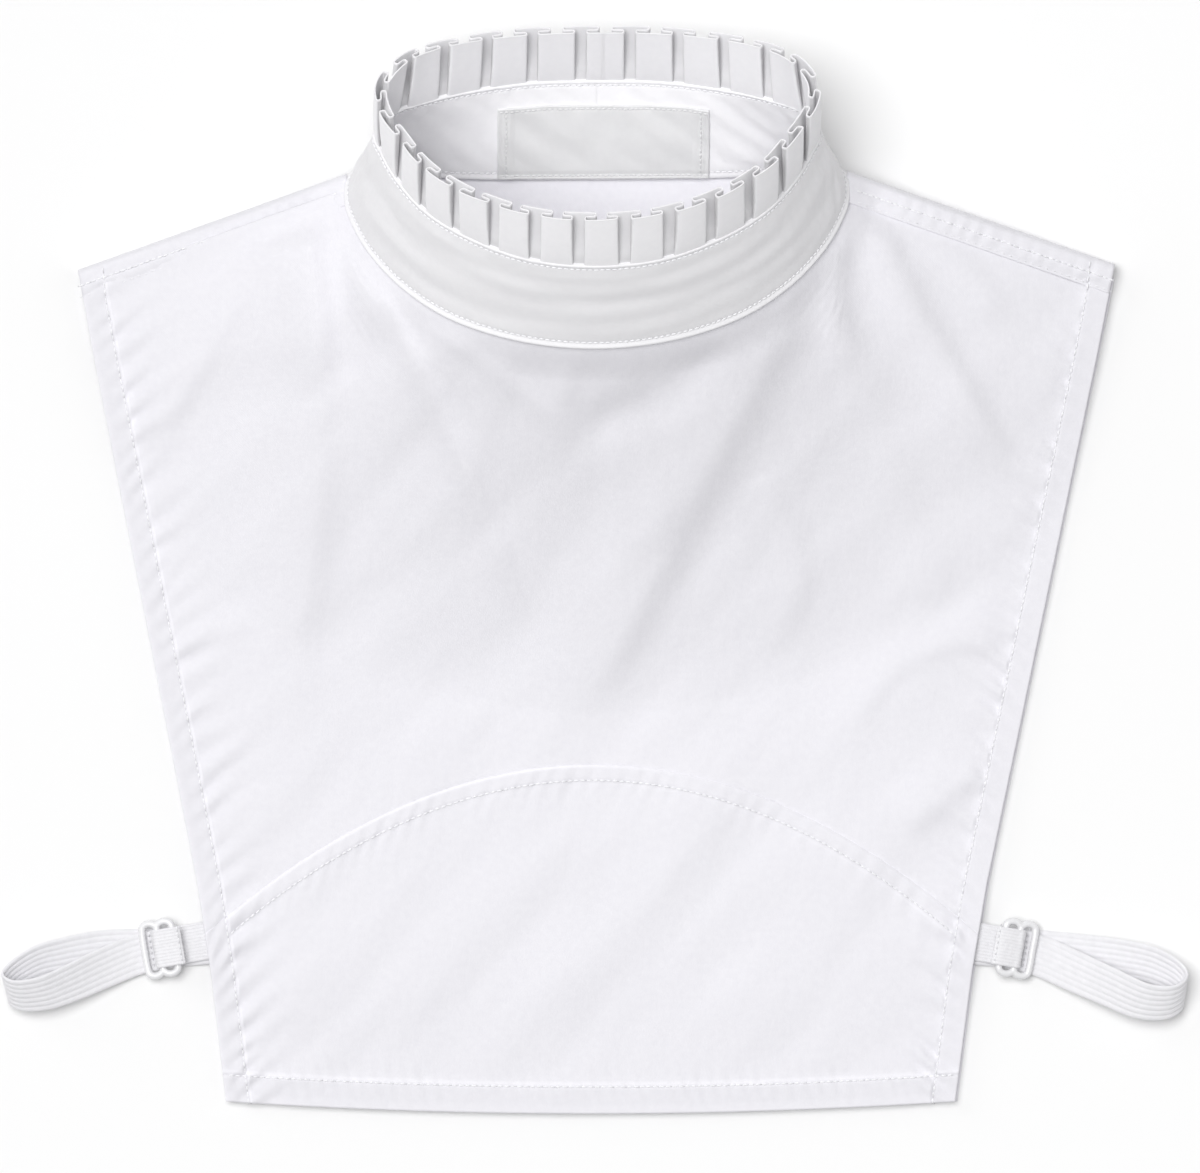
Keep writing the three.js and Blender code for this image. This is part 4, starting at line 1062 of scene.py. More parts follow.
def band_wrinkle(t, climb):
    """How far the band's wall is moved outwards, by share round the ring and distance up from its foot."""
    along = t * NECK_GIRTH
    front = smooth(0.5 - 0.9 * np.cos(2 * np.pi * t))
    free = smooth((climb - FOOT_STITCH - 0.5) / 4) * smooth((TOP_STITCH - 0.5 - climb) / 4)
    free = free * smooth((0.5 - np.abs(np.mod(t, 1) - 0.5)) * NECK_GIRTH / 6)
    level = 0.75 * waves(along / 52 + 7, (climb + 0.05 * along) / 7.5, 41)
    level = level + 0.2 * waves(along / 16, climb / 5, 42)
    slanted = 0.7 * waves((along + 0.9 * climb) / 8.5, (climb - 0.2 * along) / 22, 43)
    small = 0.1 * waves(along / 4.5, climb / 12, 44)
    return (level * front + slanted * (1 - front) + small) * free


test_wrinkles = band_wrinkle(np.linspace(0, 1, 400), 16.0)
print("wrinkles move the band by up to", round(float(np.abs(test_wrinkles).max()), 2), "mm")

# %% Band section
BAND_HEIGHT, BAND_HALF = 33.0, 0.75
# Half thicknesses of the rolled foot, outside and inside, and of the piping at the top
FOOT_HALF, PIPING_HALF = {1: 1.45, -1: 0.95}, 1.0
FOOT_ROUND, PIPING_ROUND = 0.9, 0.6
FOOT_GROOVE, TOP_GROOVE = (0.16, 0.4), (0.16, 0.35)


def rolled(up, half, radius, end, run):
    """Half thickness from a round edge inwards: up is the distance from the edge."""
    round_edge = half * np.sqrt(np.clip(1 - ((up - radius) / radius) ** 2, 0, 1))
    return np.where(up < radius, round_edge, lerp(BAND_HALF, half, smooth((end - up) / run)))


def band_side(climb, sign):
    """Half thickness of the wall at a distance up from its foot, on the outer (1) or the inner side (-1)."""
    foot = rolled(climb, FOOT_HALF[sign], FOOT_ROUND, 2.2, 1.3)
    piping = rolled(BAND_HEIGHT - climb, PIPING_HALF, PIPING_ROUND, 1.5, 0.8)
    return np.where(climb < BAND_HEIGHT / 2, foot, piping)


def band_point(t, climb, sign, lift=0.0):
    """A point on the band's outer (1) or inner (-1) face, lifted off it by a distance."""
    t, climb = np.broadcast_arrays(t, climb)
    foot, top, up, out = (on_ring(ring, t) for ring in (neck_ring, top_ring, ring_up, ring_out))
    from_foot, from_top = climb - FOOT_STITCH, climb - TOP_STITCH
    height = climb / BAND_HEIGHT * np.linalg.norm(top - foot, axis=-1)
    stitched = groove(from_foot, *FOOT_GROOVE) + groove(from_top, *TOP_GROOVE)
    pull = puckers(from_foot, t * NECK_GIRTH, *BAND_FOOT_PUCKERS)
    pull = pull + puckers(from_top, t * TOP_GIRTH, *BAND_TOP_PUCKERS)
    side = sign * (band_side(climb, sign) + stitched + lift) + band_wrinkle(t, climb) + pull
    return foot + up * height[..., None] + out * side[..., None]


print("band in front, half way up:", band_point(0.5, BAND_HEIGHT / 2, 1).round(1).tolist())

# %% Band mesh
BAND_STATIONS, ROLL_PAINTED_HIGHLIGHT, INNER_PAINTED_LIGHT = 620, 0.8, 1.8
climbs = np.concatenate([
    [0, 0.05, 0.2, 0.45, 0.8, 1.15, 1.5, 1.8, 2.05, 2.25, 2.5, 2.75, 3.0, 3.5], np.linspace(4.3, 29.4, 26),
    [30.2, 30.6, 30.9, 31.05, 31.2, 31.35, 31.55, 31.8, 32.05, 32.3, 32.55, 32.8, 32.95, 33.0]])
band_t = (np.arange(BAND_STATIONS) / BAND_STATIONS)[:, None]
points, faces = shell(band_point(band_t, climbs, 1), band_point(band_t, climbs, -1), wraps=True)
cloth = flat_map(band_t * NECK_GIRTH, climbs)
climb = cloth[:len(cloth) // 2, 1]
# Painted highlights on the rolled foot and the piping outside, and painted light over the whole inner face
near_roll = hill(climb - FOOT_ROUND, FOOT_ROUND) + hill(BAND_HEIGHT - climb, FOOT_ROUND)
band_painted_tone = np.stack([ROLL_PAINTED_HIGHLIGHT * near_roll, np.full(len(climb), INNER_PAINTED_LIGHT)])
band = add_mesh("band_cloth", points, faces, cloth, pressed=band_painted_tone)
finish_piece(band, PRESSED, "collar_cotton", "collar_band")
print("band", len(points), "points, foot seam", round(NECK_GIRTH), "mm round")

# %% [markdown]
# ## A tree that bends a strip round a path
#
# The ruffle, the label and the elastic straps are flat strips that follow a line. One geometry tree bends
# the ruffle and the straps: a strip's x is the distance along the path, y is out of it and z is up from it,
# where the path itself stores which way is up. A curve modifier could bend a strip too, but it chooses its
# own twist. The tree ends by realizing everything and setting the material, and the result is kept as a
# plain mesh.

# %% The bending tree
def finish_tree(tree, geometry, material, result):
    """The end of every tree: real geometry, smooth faces and one material."""
    realized = node(tree, "GeometryNodeRealizeInstances", Geometry=geometry)
    even = node(tree, "GeometryNodeSetShadeSmooth", Geometry=realized.outputs[0])
    dressed = node(tree, "GeometryNodeSetMaterial", Geometry=even.outputs[0], Material=material)
    feed(tree, result, Geometry=dressed.outputs[0])


def stored_rise(tree):
    """The direction that each point of a path stores: up for a strip, out of the cloth for a stitch."""
    made = node(tree, "GeometryNodeInputNamedAttribute", {"data_type": "FLOAT_VECTOR"}, Name="rise")
    return made.outputs[0]


def bending_tree():
    tree, given, result = new_tree(
        "bend along a path", "GeometryNodeTree",
        [("Geometry", "Geometry", None), ("Path", "Object", None), ("Material", "Material", None)],
        [("Geometry", "Geometry")],
    )
    path = node(tree, "GeometryNodeObjectInfo", Object=given["Path"])
    curve = node(tree, "GeometryNodeMeshToCurve", Mesh=path.outputs["Geometry"]).outputs[0]
    length = node(tree, "GeometryNodeCurveLength", Curve=curve).outputs[0]
    place = node(tree, "GeometryNodeInputPosition").outputs[0]
    parts = node(tree, "ShaderNodeSeparateXYZ", Vector=place).outputs
    along = number_sum(tree, "WRAP", parts[0], length, 0.0)
    sample = node(tree, "GeometryNodeSampleCurve", {"data_type": "FLOAT_VECTOR", "mode": "LENGTH"},
                  Curves=curve, Value=stored_rise(tree), Length=along).outputs
    up = vector_sum(tree, "NORMALIZE", sample["Value"])
    out = vector_sum(tree, "NORMALIZE", vector_sum(tree, "CROSS_PRODUCT", up, sample["Tangent"]))
    aside = vector_sum(tree, "SCALE", out, Scale=parts[1])
    lifted = vector_sum(tree, "SCALE", up, Scale=parts[2])
    final = vector_sum(tree, "ADD", sample["Position"], vector_sum(tree, "ADD", aside, lifted))
    bent = node(tree, "GeometryNodeSetPosition", Geometry=given["Geometry"], Position=final)
    finish_tree(tree, bent.outputs[0], given["Material"], result)
    return tree


BEND = bending_tree()
print("tree", BEND.name, "with", len(BEND.nodes), "nodes")


# %% Paths, and running a tree on a piece
def add_path(name, rows):
    """Chains of edges that store a direction at each point, from (points, directions, closed) rows."""
    edges, start = [], 0
    for line, _, closed in rows:
        count = len(line)
        edges += [(start + i, start + (i + 1) % count) for i in range(count if closed else count - 1)]
        start += count
    path = add_mesh(name, np.concatenate([line for line, _, _ in rows]), [], edges=edges)
    stored = path.data.attributes.new("rise", "FLOAT_VECTOR", "POINT")
    stored.data.foreach_set("vector", np.concatenate([rise for _, rise, _ in rows]).ravel())
    return path


def grown(piece, tree, values):
    """Runs a geometry tree on a piece and keeps the result as its plain mesh."""
    modifier = piece.modifiers.new("grow", "NODES")
    modifier.node_group = tree
    for item in tree.interface.items_tree:
        if item.in_out == "INPUT" and item.name in values:
            modifier[item.identifier] = values[item.name]
    bpy.context.view_layer.update()
    keep_result(piece)


def lay_along(piece, rows, material):
    """Bends a flat strip along a path, which is removed again."""
    path = add_path(piece.name + "_path", rows)
    grown(piece, BEND, {"Path": path, "Material": material})
    bpy.data.objects.remove(path)


test_rows = [([(0, 0, 0), (10, 0, 0), (10, 10, 0)], [(0, 0, 1.0)] * 3, closed) for closed in (False, True)]
test_path = add_path("test_path", test_rows)
print("an open and a closed chain of three points have", len(test_path.data.edges), "edges")
bpy.data.objects.remove(test_path)

# %% [markdown]
# ## The ruffle
#
# A doubled strip of cotton is folded into 24 box pleats and sewn into the band's top seam. A box pleat is
# one outer face whose two sides turn in behind it; the strip then runs to the next face behind the gap. The
# folds are pinched flat at the seam and open towards the top edge, where the layers show as small hooks.
# The flat strip is folded by a path for one pleat, repeated round the ring with small differences in width
# and lean, and the tree bends it round the top seam. A wavy ring would be easier to make, but it has no
# layers and none of the sharp turns that the picture shows.

# %% One pleat's path
PLEATS = 24
PITCH = TOP_GIRTH / PLEATS
PLEAT_FACE, PLEAT_BACK = 10.6, 11.1
TURN_RADIUS, TURN_REACH, FACE_REACH = 0.5, 1.6, 1.3


def arc(centre_x, centre_y, start, end, steps=5):
    angle = np.radians(np.linspace(start, end, steps))
    return [(centre_x + TURN_RADIUS * math.cos(a), centre_y + TURN_RADIUS * math.sin(a)) for a in angle]


def pleat_path(face):
    """(distance along the seam, layer) through one pleat, from the middle of the gap before its face."""
    half, gap = face / 2, PITCH / 2 - PLEAT_BACK / 2
    path = [(x, -1.0) for x in np.linspace(-PITCH / 2, -gap - TURN_REACH, 4)]
    path += arc(-gap - TURN_RADIUS, -0.5, -75, 75)
    path += [(x, 0.0) for x in (-gap - TURN_REACH, -half + TURN_REACH)]
    path += arc(-half + TURN_RADIUS, 0.5, 255, 105)
    path += [(x, 1.0) for x in np.linspace(-half + FACE_REACH, half - FACE_REACH, 6)]
    path += arc(half - TURN_RADIUS, 0.5, 75, -75)
    path += [(x, 0.0) for x in (half - TURN_REACH, gap + TURN_REACH)]
    path += arc(gap + TURN_RADIUS, -0.5, 105, 255)
    path += [(x, -1.0) for x in np.linspace(gap + TURN_REACH, PITCH / 2, 4)[:-1]]
    return np.array(path)


print("pleats every", round(PITCH, 2), "mm, each a path of", len(pleat_path(PLEAT_FACE)), "points")

# %% The folded strip
LAYER_HEIGHTS, LAYERS = [-1.0, 0.4, 2.5, 8.0, 19.0], [0.36, 0.5, 0.85, 1.3, 1.8]
WIDTH_SPREAD, LEAN, SWELL, CURL, PINCH = 0.045, 0.45, 0.35, 0.3, 0.05
ruffle_heights = np.array([-1.0, -0.2, 0.6, 1.6, 3.0, 5.0, 7.5, 10.0, 12.5, 15.0, 17.0, 18.2, 18.8, 19.0])
pleat_random = np.random.RandomState(8)


def seam_place(distance):
    """Where on the seam a place on the evenly pleated strip is sewn: the pleats are wider at the back."""
    turn = 2 * np.pi * distance / TOP_GIRTH
    return distance + 3.85 - 1.55 * np.cos(turn) + 2.8 * np.sin(turn)


def one_pleat(number):
    """Points of one pleat, [column, row, xyz], with its own small differences, and each column's layer."""
    face, lean, tilt, bow = pleat_random.uniform(-1, 1, 4)
    x, layer = pleat_path(PLEAT_FACE * (1 + WIDTH_SPREAD * face)).T[..., None]
    rise, on_face = np.clip(ruffle_heights / RUFFLE_HEIGHT, 0, 1), np.maximum(layer, 0)
    sideways = (x * PINCH * (1 - rise) ** 2 + lean * LEAN * rise) * on_face
    swell = SWELL * (1 + 0.5 * bow) * np.sin(np.pi * 0.8 * rise) * (1 - (x / 6) ** 2) * on_face
    curl = CURL * tilt * (x / 5) * rise * on_face
    along = seam_place(x + (number + 0.5) * PITCH) + sideways
    out = layer * np.interp(ruffle_heights, LAYER_HEIGHTS, LAYERS) + swell + curl
    return np.stack(np.broadcast_arrays(along, out, ruffle_heights), -1), layer


pleats = [one_pleat(number) for number in range(PLEATS)]
strip = np.concatenate([columns for columns, _ in pleats])
layers = np.concatenate([layer for _, layer in pleats])
step = np.linalg.norm(np.diff(strip[:, 0, :2], axis=0, prepend=strip[:1, 0, :2]), axis=1)

# %% The ruffle's mesh
RUFFLE_WALL = 0.5
index = np.arange(strip[..., 0].size).reshape(strip.shape[:2])
ahead = np.roll(index, -1, 0)
faces = quads(index[:, :-1], ahead[:, :-1], ahead[:, 1:], index[:, 1:])
cut = np.stack(np.broadcast_arrays(np.cumsum(step)[:, None], ruffle_heights), -1).reshape(-1, 2)
# Each point carries its layer for now; shade_pleats turns it into a painted tone of light and shade
tones = np.broadcast_to(layers, index.shape)
ruffle = add_mesh("ruffle_cloth", strip.reshape(-1, 3), faces, cut, pressed=tones)
lay_along(ruffle, [(top_ring[::4], ruffle_up[::4], True)], PRESSED)
wall = ruffle.modifiers.new("wall", "SOLIDIFY")
wall.thickness, wall.offset = RUFFLE_WALL * MM, 0.0
soft = ruffle.modifiers.new("soft", "SUBSURF")
soft.levels = soft.render_levels = 1
keep_result(ruffle)
print("the folded strip's mesh has", len(ruffle.data.vertices), "points")

# %% Painted light and shade on the pleats
# Painted tones by layer: painted shade beside the folds, painted light on the open faces, and a painted
# highlight on the top edge
PLEAT_LAYERS, PLEAT_TONES = [-1.0, -0.95, -0.7, 0.6, 0.95], [0.4, -0.2, -2.6, -2.0, 1.3]
EDGE_TONE, GAP_SHADE, GAP_SHADE_HEIGHT = 0.8, 2.0, 4


def shade_pleats(mesh):
    """Turns each point's layer into a painted tone: painted light on open faces and the top edge, painted
    shade beside the folds and low in the gaps.
    """
    stored = mesh.attributes["pressed"].data
    outward = read(mesh.vertices, "co", 3)[:, :2] / MM - COLLAR_MIDDLE
    sign = np.sign((read(mesh.vertices, "normal", 3)[:, :2] * outward).sum(-1))
    layer = read(stored, "value") * sign
    height = np.empty(len(mesh.vertices))
    corner = read(mesh.loops, "vertex_index", kind=int)
    height[corner] = read(mesh.uv_layers["cloth"].data, "uv", 2)[:, 1] * CLOTH_UNIT
    tone = np.interp(layer, PLEAT_LAYERS, PLEAT_TONES)
    tone -= GAP_SHADE * (layer < -0.9) * smooth((GAP_SHADE_HEIGHT - height) / GAP_SHADE_HEIGHT)
    tone = lerp(tone, EDGE_TONE, smooth((height - RUFFLE_HEIGHT + 0.9) / 0.6))
    stored.foreach_set("value", tone)
    return tone


pleat_tone = shade_pleats(ruffle.data)
print("ruffle tones from", round(float(pleat_tone.min()), 2), "to", round(float(pleat_tone.max()), 2))
finish_piece(ruffle, PRESSED, "collar_cotton", "ruffle")

# %% [markdown]
# ## The label
#
# A satin ribbon is folded under at its two ends and sewn flat inside the back of the band along all its
# edges. It is left blank. It follows the band's inner face, a little proud of it, and its ends are two
# layers thick. The bending tree could lay it too, but the band's own formula places it exactly on the
# band's wrinkles.

# %% The label's face
LABEL_LONG, LABEL_TALL, LABEL_FOOT, LABEL_SHIFT = 67.0, 24.0, 0.9, 2.0
LABEL_CLOTH, LABEL_MARGIN, LABEL_STITCH = 0.5, 2.6, 1.1
LABEL_LIFT, LABEL_UNDER, LABEL_FOLDED, LABEL_GROOVE = 0.25, 0.1, 0.3, (0.16, 0.4)


def label_share(across, up):
    """The place round the ring where the band is this far across, seen from above."""
    t = np.linspace(-0.13, 0.13, 200)
    share = (LABEL_FOOT + up) / BAND_HEIGHT
    found = np.empty(across.shape)
    for k in np.unique(share):
        here = share == k
        wide = lerp(on_ring(neck_ring, t)[:, 0], on_ring(top_ring, t)[:, 0], k)
        found[here] = np.interp(LABEL_SHIFT + across[here] - LABEL_LONG / 2, wide, t)
    return found


def label_point(across, up, lift):
    """A point on the label's face from its place on the flat ribbon."""
    return band_point(label_share(across, up), LABEL_FOOT + up, -1, lift)


def label_edge(across, up):
    """Distances in from the ribbon's two ends, and in from its nearest edge."""
    ends = np.minimum(across, LABEL_LONG - across)
    return ends, np.minimum(ends, np.minimum(up, LABEL_TALL - up))


def label_top(across, up):
    """Height of the ribbon's face off the band: the folded ends, its stitches, puckers and waves."""
    ends, edge = label_edge(across, up)
    sewn = edge - LABEL_STITCH
    relief = LABEL_FOLDED * smooth((LABEL_MARGIN + 2.5 - ends) / 0.6)
    relief += groove(sewn, *LABEL_GROOVE) + groove(ends - LABEL_MARGIN, *LABEL_GROOVE)
    relief += puckers(sewn, across + up, *LABEL_PUCKERS)
    relief += 0.12 * waves(across / 14 + 3, up / 9 + 4, 52) * smooth((edge - 1.5) / 4)
    return LABEL_LIFT + LABEL_CLOTH + relief


label_middle = float(label_top(LABEL_LONG / 2, LABEL_TALL / 2))
print("label", LABEL_LONG, "x", LABEL_TALL, "mm, its middle", round(label_middle, 2), "mm off the band")


# %% Label mesh
def both_ends(steps, middle, length):
    """Steps in from one end of a length, places along its middle, and the same steps at the other end."""
    return np.concatenate([steps, middle, length - steps[::-1]])


end_steps = np.array([0, 0.15, 0.4, 0.7, 1.0, 1.3, 1.7, 2.1, 2.5, 2.9, 3.4, 4.2, 5.0])
edge_steps = np.array([0, 0.15, 0.4, 0.7, 1.0, 1.3, 1.7, 2.3])
across = both_ends(end_steps, np.linspace(5.8, LABEL_LONG - 5.8, 90), LABEL_LONG)
up = both_ends(edge_steps, np.linspace(3, LABEL_TALL - 3, 24), LABEL_TALL)
across, up = np.meshgrid(across, up, indexing="ij")
label_round = edge_round(label_edge(across, up)[1], LABEL_CLOTH / 2)
points, faces = shell(label_point(across, up, label_top(across, up) - label_round),
                      label_point(across, up, LABEL_UNDER + label_round * 0.5))
label = add_mesh("label_satin", points, faces, flat_map(across, up))
finish_piece(label, SATIN, "label_satin", "label")

# %% [markdown]
# ## The elastic straps
#
# Each side has a loop of ribbed elastic: it leaves the side seam, runs out under the slider, turns round at
# its far end and comes back on top to the slider. A second, short piece comes from under the front, goes
# round the slider's middle bar and is sewn down on itself. Both are flat ribbed strips that the bending
# tree lays along their paths. The path says where the middle of the strip is, and which way its width
# points. Curves with a bevel could stand for them, but a bevel has no ribs across its width.

# %% Ribbed strips
RIB_GAP, RIB_COLUMNS, EDGE_CROWDING = 0.3, 6, 0.92
LOOP_BAND = {"wide": 12.7, "half": 0.48, "columns": 260, "ribs": 7, "ridge": 0.24, "crossing": 0.05}
TAB_BAND = {"wide": 12.0, "half": 0.4, "columns": 120, "ribs": 12, "ridge": 0.15, "crossing": 0.1}
PATH_SPARE = 0.02


def ribbed_strip(name, length, wide, half, columns, ribs, ridge, crossing):
    """A flat strip along x with rounded edges, ribs along its length and finer marks across them."""
    share = np.linspace(-1, 1, ribs * RIB_COLUMNS + 1)
    share = np.sign(share) * np.abs(share) ** EDGE_CROWDING
    x, z = np.meshgrid(np.linspace(0, length, columns), share * wide / 2, indexing="ij")
    between = (np.mod(ribs * (z / wide + 0.5) + 0.5, 1) - 0.5) * wide / ribs
    relief = crossing * waves(x / 0.9, z / 1.6, 61) - ridge * hill(between, RIB_GAP)
    thick = half - edge_round(wide / 2 - np.abs(z), half)
    thick = thick + relief * smooth(thick / half * 2)
    outer, inner = (np.stack([x, y, z], -1) for y in (thick, -thick))
    return add_mesh(name, *shell(outer, inner), flat_map(x, z))


def bent_strip(name, line, rise, band, node_name):
    """A ribbed strip laid along a line, given by its points and the directions of its width."""
    length = float(np.linalg.norm(np.diff(line, axis=0), axis=1).sum())
    piece = ribbed_strip(name, length - PATH_SPARE, **band)
    lay_along(piece, [(line, rise, False)], ELASTIC)
    finish_piece(piece, ELASTIC, "strap_elastic", node_name)
    print(name, "is", round(length), "mm of elastic")


print("a loop's elastic is", LOOP_BAND["wide"], "mm wide with", LOOP_BAND["ribs"], "ribs")

# %% Loops
# Each loop's middle line: distance out from the middle of the dickey, y, z, the lean of its width in plan and
# its tilt out of the plan, in degrees
LOOP_LEFT = [
    (109.0, -116.6, 1.8, 8, 0), (122.5, -117.2, 1.8, 8, 0), (130.0, -117.9, 0.8, 9, 0),
    (139.0, -118.5, 0.6, 10, 0), (152.5, -119.0, 1.4, 9, 8), (165.0, -120.9, 3.1, 12, 22),
    (174.4, -123.3, 4.5, 14, 34), (181.6, -128.0, 5.6, 15, 40), (183.4, -130.8, 7.4, 14, 40),
    (180.4, -133.0, 9.6, 15, 38), (172.2, -132.6, 10.4, 18, 32), (163.4, -129.4, 8.6, 19, 22),
    (152.6, -124.5, 4.8, 17, 8), (143.0, -120.6, 2.2, 13, 0), (136.0, -118.8, 1.85, 10, 0),
    (129.5, -117.9, 1.85, 9, 0),
]
LOOP_RIGHT = [
    (109.0, -116.9, 1.8, 8, 0), (122.5, -117.4, 1.8, 8, 0), (130.0, -118.1, 0.8, 9, 0),
    (139.0, -118.9, 0.6, 10, 0), (153.5, -120.3, 1.2, 9, 6), (167.0, -121.9, 2.6, 10, 16),
    (177.0, -124.2, 3.8, 11, 26), (184.2, -128.4, 5.0, 9, 32), (186.0, -131.6, 7.2, 8, 32),
    (182.6, -134.9, 9.9, 12, 30), (173.2, -135.0, 10.6, 20, 24), (161.0, -129.9, 8.2, 24, 16),
    (149.8, -124.9, 4.4, 22, 6), (142.0, -121.4, 2.2, 16, 0), (135.0, -119.2, 1.85, 11, 0),
    (128.5, -118.2, 1.85, 9, 0),
]
LOOP_STEPS = 600


def loop_line(table, side):
    """Points of a loop's middle line, and the directions of its width."""
    line = catmull(table, False, LOOP_STEPS) * (side, 1, 1, 1, 1)
    lean, tilt = np.radians(line[:, 3:]).T
    across = np.stack([side * np.sin(lean) * np.cos(tilt), np.cos(lean) * np.cos(tilt), np.sin(tilt)], -1)
    return line[:, :3], across


for side, table, tag in ((-1, LOOP_LEFT, "left"), (1, LOOP_RIGHT, "right")):
    bent_strip("elastic_" + tag, *loop_line(table, side), LOOP_BAND, "strap_" + tag)

# %% Tabs round the sliders
SLIDER_X, SLIDER_Y, SLIDER_Z, SLIDER_TURN, SLIDER_TILT = {-1: 135.3, 1: 133.4}, -118.5, 4.75, 10.0, 13.0
# A tab's middle line seen from the side: distance in from the slider's bar, and height
TAB_LOW = [(23, 3.15), (15, 3.15), (6, 3.15), (1.2, 3.10)]
TAB_HIGH = [(3.2, 7.45), (5.6, 7.85), (7.2, 7.15)]
TAB_BEND, TAB_STEPS = 1.65, 240


def slider_place(side, inward, across):
    """Place in plan from a slider's bar: a distance in towards the panel and one along the bar."""
    turn = math.radians(SLIDER_TURN)
    x = side * (SLIDER_X[side] - inward * math.cos(turn) + across * math.sin(turn))
    return x, SLIDER_Y + inward * math.sin(turn) + across * math.cos(turn)


def tab_line(side):
    """Points of a tab's middle line, and the directions of its width."""
    angles = np.radians(np.arange(270, 60, -30))
    turn = [(TAB_BEND * math.cos(a), SLIDER_Z + TAB_BEND * math.sin(a)) for a in angles]
    flat = catmull(TAB_LOW + turn + TAB_HIGH, False, TAB_STEPS)
    lean = math.radians(SLIDER_TURN)
    across = np.tile((side * math.sin(lean), math.cos(lean), 0), (len(flat), 1))
    return np.stack([*slider_place(side, flat[:, 0], 0), flat[:, 1]], -1), across


for side, tag in ((-1, "left"), (1, "right")):
    bent_strip("tab_" + tag, *tab_line(side), TAB_BAND, "strap_tab_" + tag)

# %% [markdown]
# ## The sliders
#
# A slider is a figure of eight moulded in one piece: two slots side by side with a bar between them, and a
# dent in the outline where the bar meets it. Round tubes are laid along the outline and the bar, then
# melted into one skin by a fine voxel remesh, which gives the soft fillets of a small moulding without any
# boolean cuts.

# %% A slider's tubes
WIRE, WIRE_SIDES, BAR_HALF, OUTLINE_STEPS, BAR_STEPS = 1.14, 14, 7.4, 200, 40
SLIDER_OUTLINE = np.array([(4.9, 0.0), (4.9, 5.6), (4.5, 7.4), (3.1, 8.2), (1.5, 8.1), (0.0, 7.3)])
SLIDER_INNER = -5.0


def tube(line, closed):
    """Points and faces of a round tube along a line in the plane z = 0."""
    ahead = unit(np.roll(line, -1, 0) - np.roll(line, 1, 0) if closed else np.gradient(line, axis=0))
    aside = np.stack([-ahead[:, 1], ahead[:, 0], 0 * ahead[:, 0]], -1)
    angle = np.linspace(0, 2 * np.pi, WIRE_SIDES, endpoint=False)[None, :, None]
    ring = line[:, None] + WIRE * (aside[:, None] * np.cos(angle) + np.array((0, 0, 1.0)) * np.sin(angle))
    index = np.arange(len(line) * WIRE_SIDES).reshape(-1, WIRE_SIDES)
    first, along = (index, np.roll(index, -1, 0)) if closed else (index[:-1], index[1:])
    faces = quads(first, np.roll(first, -1, 1), np.roll(along, -1, 1), along).tolist()
    if not closed:
        faces += [index[0, ::-1].tolist(), index[-1].tolist()]
    return ring.reshape(-1, 3), faces


def slider_tubes():
    """Points and faces of one tube along a slider's outline and one along its bar."""
    half = np.concatenate([SLIDER_OUTLINE, SLIDER_OUTLINE[-2:0:-1] * (-1, 1)])
    whole = np.concatenate([half, [[SLIDER_INNER, 0.0]], half[:0:-1] * (1, -1)])
    outline = catmull(np.c_[whole, np.zeros(len(whole))], True, OUTLINE_STEPS)
    bar = np.linspace((0, -BAR_HALF, 0), (0, BAR_HALF, 0), BAR_STEPS)
    ring, ring_faces = tube(outline, True)
    rod, rod_faces = tube(bar, False)
    return np.concatenate([ring, rod]), ring_faces + [[i + len(ring) for i in face] for face in rod_faces]


print("a slider's two tubes have", len(slider_tubes()[0]), "points")

# %% Sliders
MELT_VOXEL, MELT_EVEN, MELT_ROUNDS = 0.19, 0.5, 6


def slider_wire(side, name, node_name):
    """Melts a slider's tubes into one skin where the slider lies, turned and tilted."""
    turn, tilt = math.radians(-side * SLIDER_TURN), math.radians(side * SLIDER_TILT)
    about_y = np.array([[math.cos(tilt), 0, math.sin(tilt)], [0, 1, 0], [-math.sin(tilt), 0, math.cos(tilt)]])
    about_z = np.array([[math.cos(turn), -math.sin(turn), 0], [math.sin(turn), math.cos(turn), 0], [0, 0, 1]])
    points, faces = slider_tubes()
    points = points @ (about_z @ about_y).T + (side * SLIDER_X[side], SLIDER_Y, SLIDER_Z)
    piece = add_mesh(name, points, faces)
    melt = piece.modifiers.new("melt", "REMESH")
    melt.mode, melt.voxel_size, melt.use_smooth_shade = "VOXEL", MELT_VOXEL * MM, True
    even = piece.modifiers.new("even", "SMOOTH")
    even.factor, even.iterations = MELT_EVEN, MELT_ROUNDS
    keep_result(piece)
    finish_piece(piece, PLASTIC, "slider_plastic", node_name)


slider_wire(-1, "slider_wire_left", "slider_left")
slider_wire(1, "slider_wire_right", "slider_right")

# %% [markdown]
# ## Rows of stitches
#
# Every seam is sewn with a lockstitch: a row of short oval stitches, each sunk at its two ends. One
# geometry tree makes them all. It takes a seam as a chain of edges that stores the direction of the cloth's
# face, resamples it to one point for each stitch and sets a small grain there, turned along the seam. Real
# thread would be a twisted cord that dives through the cloth; the grain shows what can be seen of it from
# above.

# %% The stitch tree
# The same tree also sets the grey grains of painted shade at the dimples between stitches
GRAIN_LEAST, GRAIN_MOST = (0.9, 0.85, 0.85), (1.08, 1.15, 1.15)


